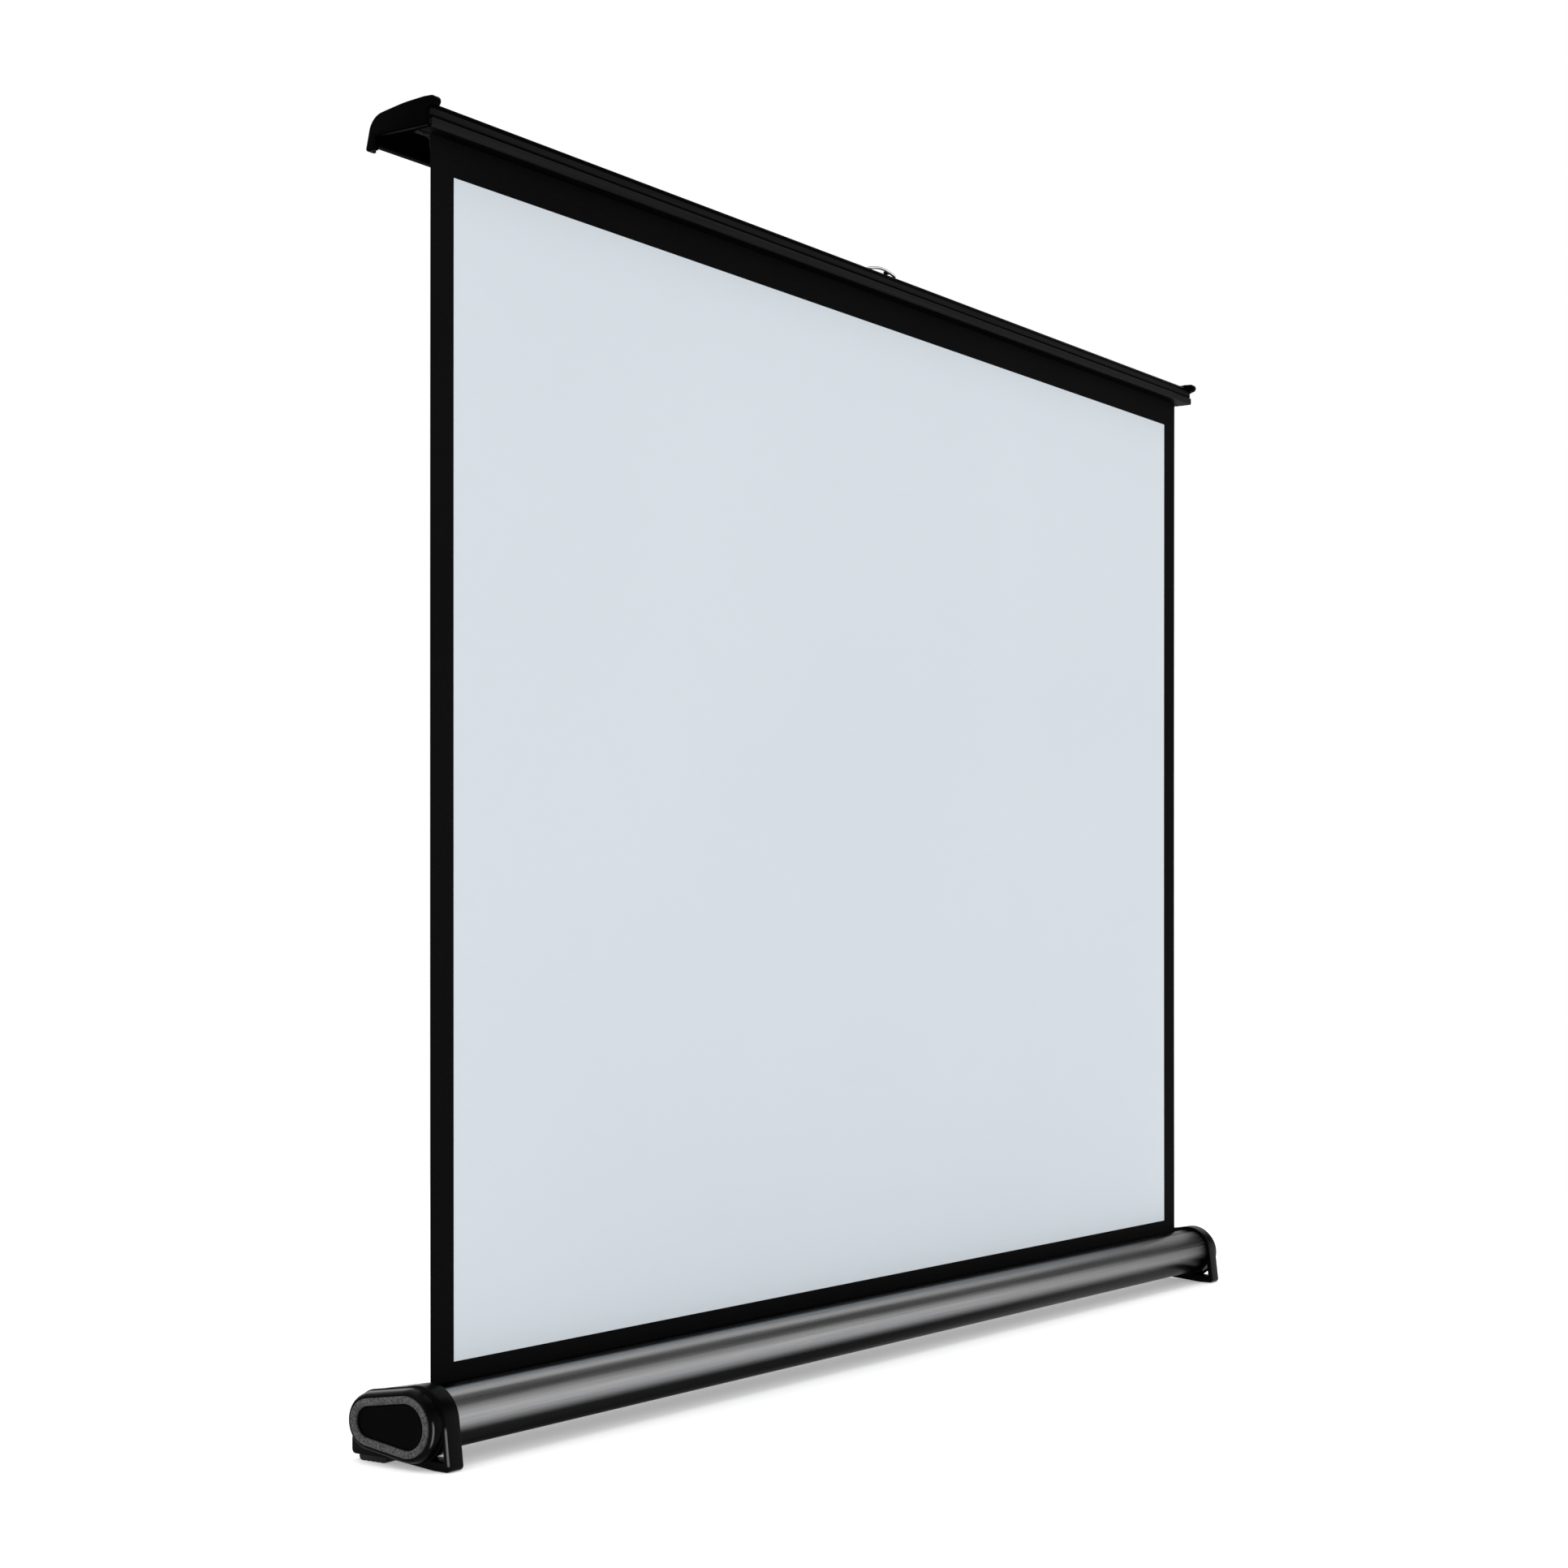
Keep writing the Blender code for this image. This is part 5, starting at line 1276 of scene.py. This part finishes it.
# Stage, light and camera: soft boxes in front, overhead and behind, over a pale floor
floorLook = {"half": 14.0, "height": -0.0002, "pale": 0.8, "glow": 0.32, "near": 0.8, "far": 1.7}
skyLook = {"level": 0.87, "upper": 0.14, "starts": (26, 40), "ends": (95, 115)}
lampLooks = {
    "front": {"spot": (0.0, -3.6, 0.42), "aim": (0.0, 0.0, 0.42), "size": (20.0, 0.84), "radiance": 0.62},
    "overhead": {"spot": (0.0, 0.25, 2.6), "aim": (0.0, 0.25, 0.0), "size": (14.0, 2.1), "radiance": 1.3},
    "behind": {"spot": (0.0, 4.2, 1.6), "aim": (0.0, 0.0, 0.4), "size": (8.0, 1.6), "radiance": 1.6},
}


def seenDirectly(graph):
    # 1 for rays from the camera, a mirror or glass, and 0 for light that scatters
    rays = ("Is Camera Ray", "Is Glossy Ray", "Is Transmission Ray")
    camera, glossy, through = (graph.node("ShaderNodeLightPath", {}, {}, ray) for ray in rays)
    return 1 - (1 - camera) * (1 - glossy) * (1 - through)


def makeFloor(look):
    # pale and matt near the object, where it keeps the shadow, and plain white further out
    half = look["half"]
    mesh = bpy.data.meshes.new("floor")
    corners = [(x * half, y * half, look["height"]) for x, y in ((-1, -1), (1, -1), (1, 1), (-1, 1))]
    mesh.from_pydata(corners, [], [(0, 1, 2, 3)])
    paint = Paint("pale_floor", base_color=rgb((look["pale"],) * 3), roughness=0.9, specular_ior_level=0.0)
    seen = seenDirectly(paint)
    reach = paint.node("ShaderNodeVectorMath", {"operation": "LENGTH"}, {0: paint.coords}, "Value")
    white = paint.node("ShaderNodeEmission", {}, {"Strength": 1.0})
    lift = paint.node("ShaderNodeEmission", {}, {"Strength": look["glow"]})
    matt = Value(paint, paint.shader.outputs[0])
    lifted = paint.node("ShaderNodeAddShader", {}, {0: matt, 1: lift})
    near = paint.node("ShaderNodeMixShader", {}, {0: seen, 1: matt, 2: lifted})
    share = seen * paint.share(reach, look["near"], look["far"])
    mixed = paint.node("ShaderNodeMixShader", {}, {0: share, 1: near, 2: white})
    paint.give(paint.tree.nodes["Material Output"].inputs["Surface"], mixed)
    mesh.materials.append(paint.material)
    added("floor", mesh)


def makeWorld(look):
    # soft light all round, plain white where the camera sees it; metal also meets a darker stretch of
    # ceiling in front of and above the object, told by the angle atan2(z, -y) of the direction
    world = bpy.data.worlds.new("studio")
    world.use_nodes = True
    bpy.context.scene.world = world
    graph = Graph(world.node_tree)
    background = world.node_tree.nodes["Background"]
    background.inputs["Color"].default_value = (1, 1, 1, 1)
    way = graph.node("ShaderNodeTexCoord", {}, {}, "Generated")
    y, z = (graph.node("ShaderNodeSeparateXYZ", {}, {"Vector": way}, letter) for letter in "YZ")
    rise = graph.node("ShaderNodeMath", {"operation": "ARCTAN2"}, {0: z, 1: 0 - y}) * (180 / math.pi)
    ceiling = graph.share(rise, *look["starts"]) * (1 - graph.share(rise, *look["ends"]))
    camera = graph.node("ShaderNodeLightPath", {}, {}, "Is Camera Ray")
    seen = 1 - ceiling * (1 - camera) * (1 - look["upper"])
    graph.give(background.inputs["Strength"], seenDirectly(graph) * (seen - look["level"]) + look["level"])


def addLamp(name, look):
    # a rectangular soft box; its power is radiance times area times pi
    lamp = bpy.data.lights.new(name, "AREA")
    lamp.shape = "RECTANGLE"
    lamp.size, lamp.size_y = look["size"]
    lamp.energy = look["radiance"] * lamp.size * lamp.size_y * math.pi
    holder = added(name, lamp)
    holder.location = look["spot"]
    holder.rotation_euler = (Vector(look["aim"]) - Vector(look["spot"])).to_track_quat("-Z", "Y").to_euler()


makeFloor(floorLook)
makeWorld(skyLook)
for name, look in lampLooks.items():
    addLamp(name, look)

# The lens and the shift are worked out from pixels of the 1932 by 1932 frame
cameraLook = {
    "spot": (-1799.0, -1148.8, 338.0),
    "turn": 55.405,
    "focal": 3281.0,
    "frame": 1932.0,
    "horizon": 1147.0,
}
camera = bpy.data.cameras.new("camera")
camera.sensor_width = 36.0
camera.lens = camera.sensor_width * cameraLook["focal"] / cameraLook["frame"]
camera.shift_y = (cameraLook["horizon"] - cameraLook["frame"] / 2) / cameraLook["frame"]
cameraHolder = added("camera", camera)
cameraX, cameraY, cameraZ = cameraLook["spot"]
cameraHolder.location = (cameraX * mm, (cameraY + planeY) * mm, cameraZ * mm)
cameraHolder.rotation_euler = (math.radians(90), 0, -math.radians(cameraLook["turn"]))
bpy.context.scene.camera = cameraHolder
bpy.context.scene.view_settings.view_transform = "Standard"
print("stage, light and camera made")
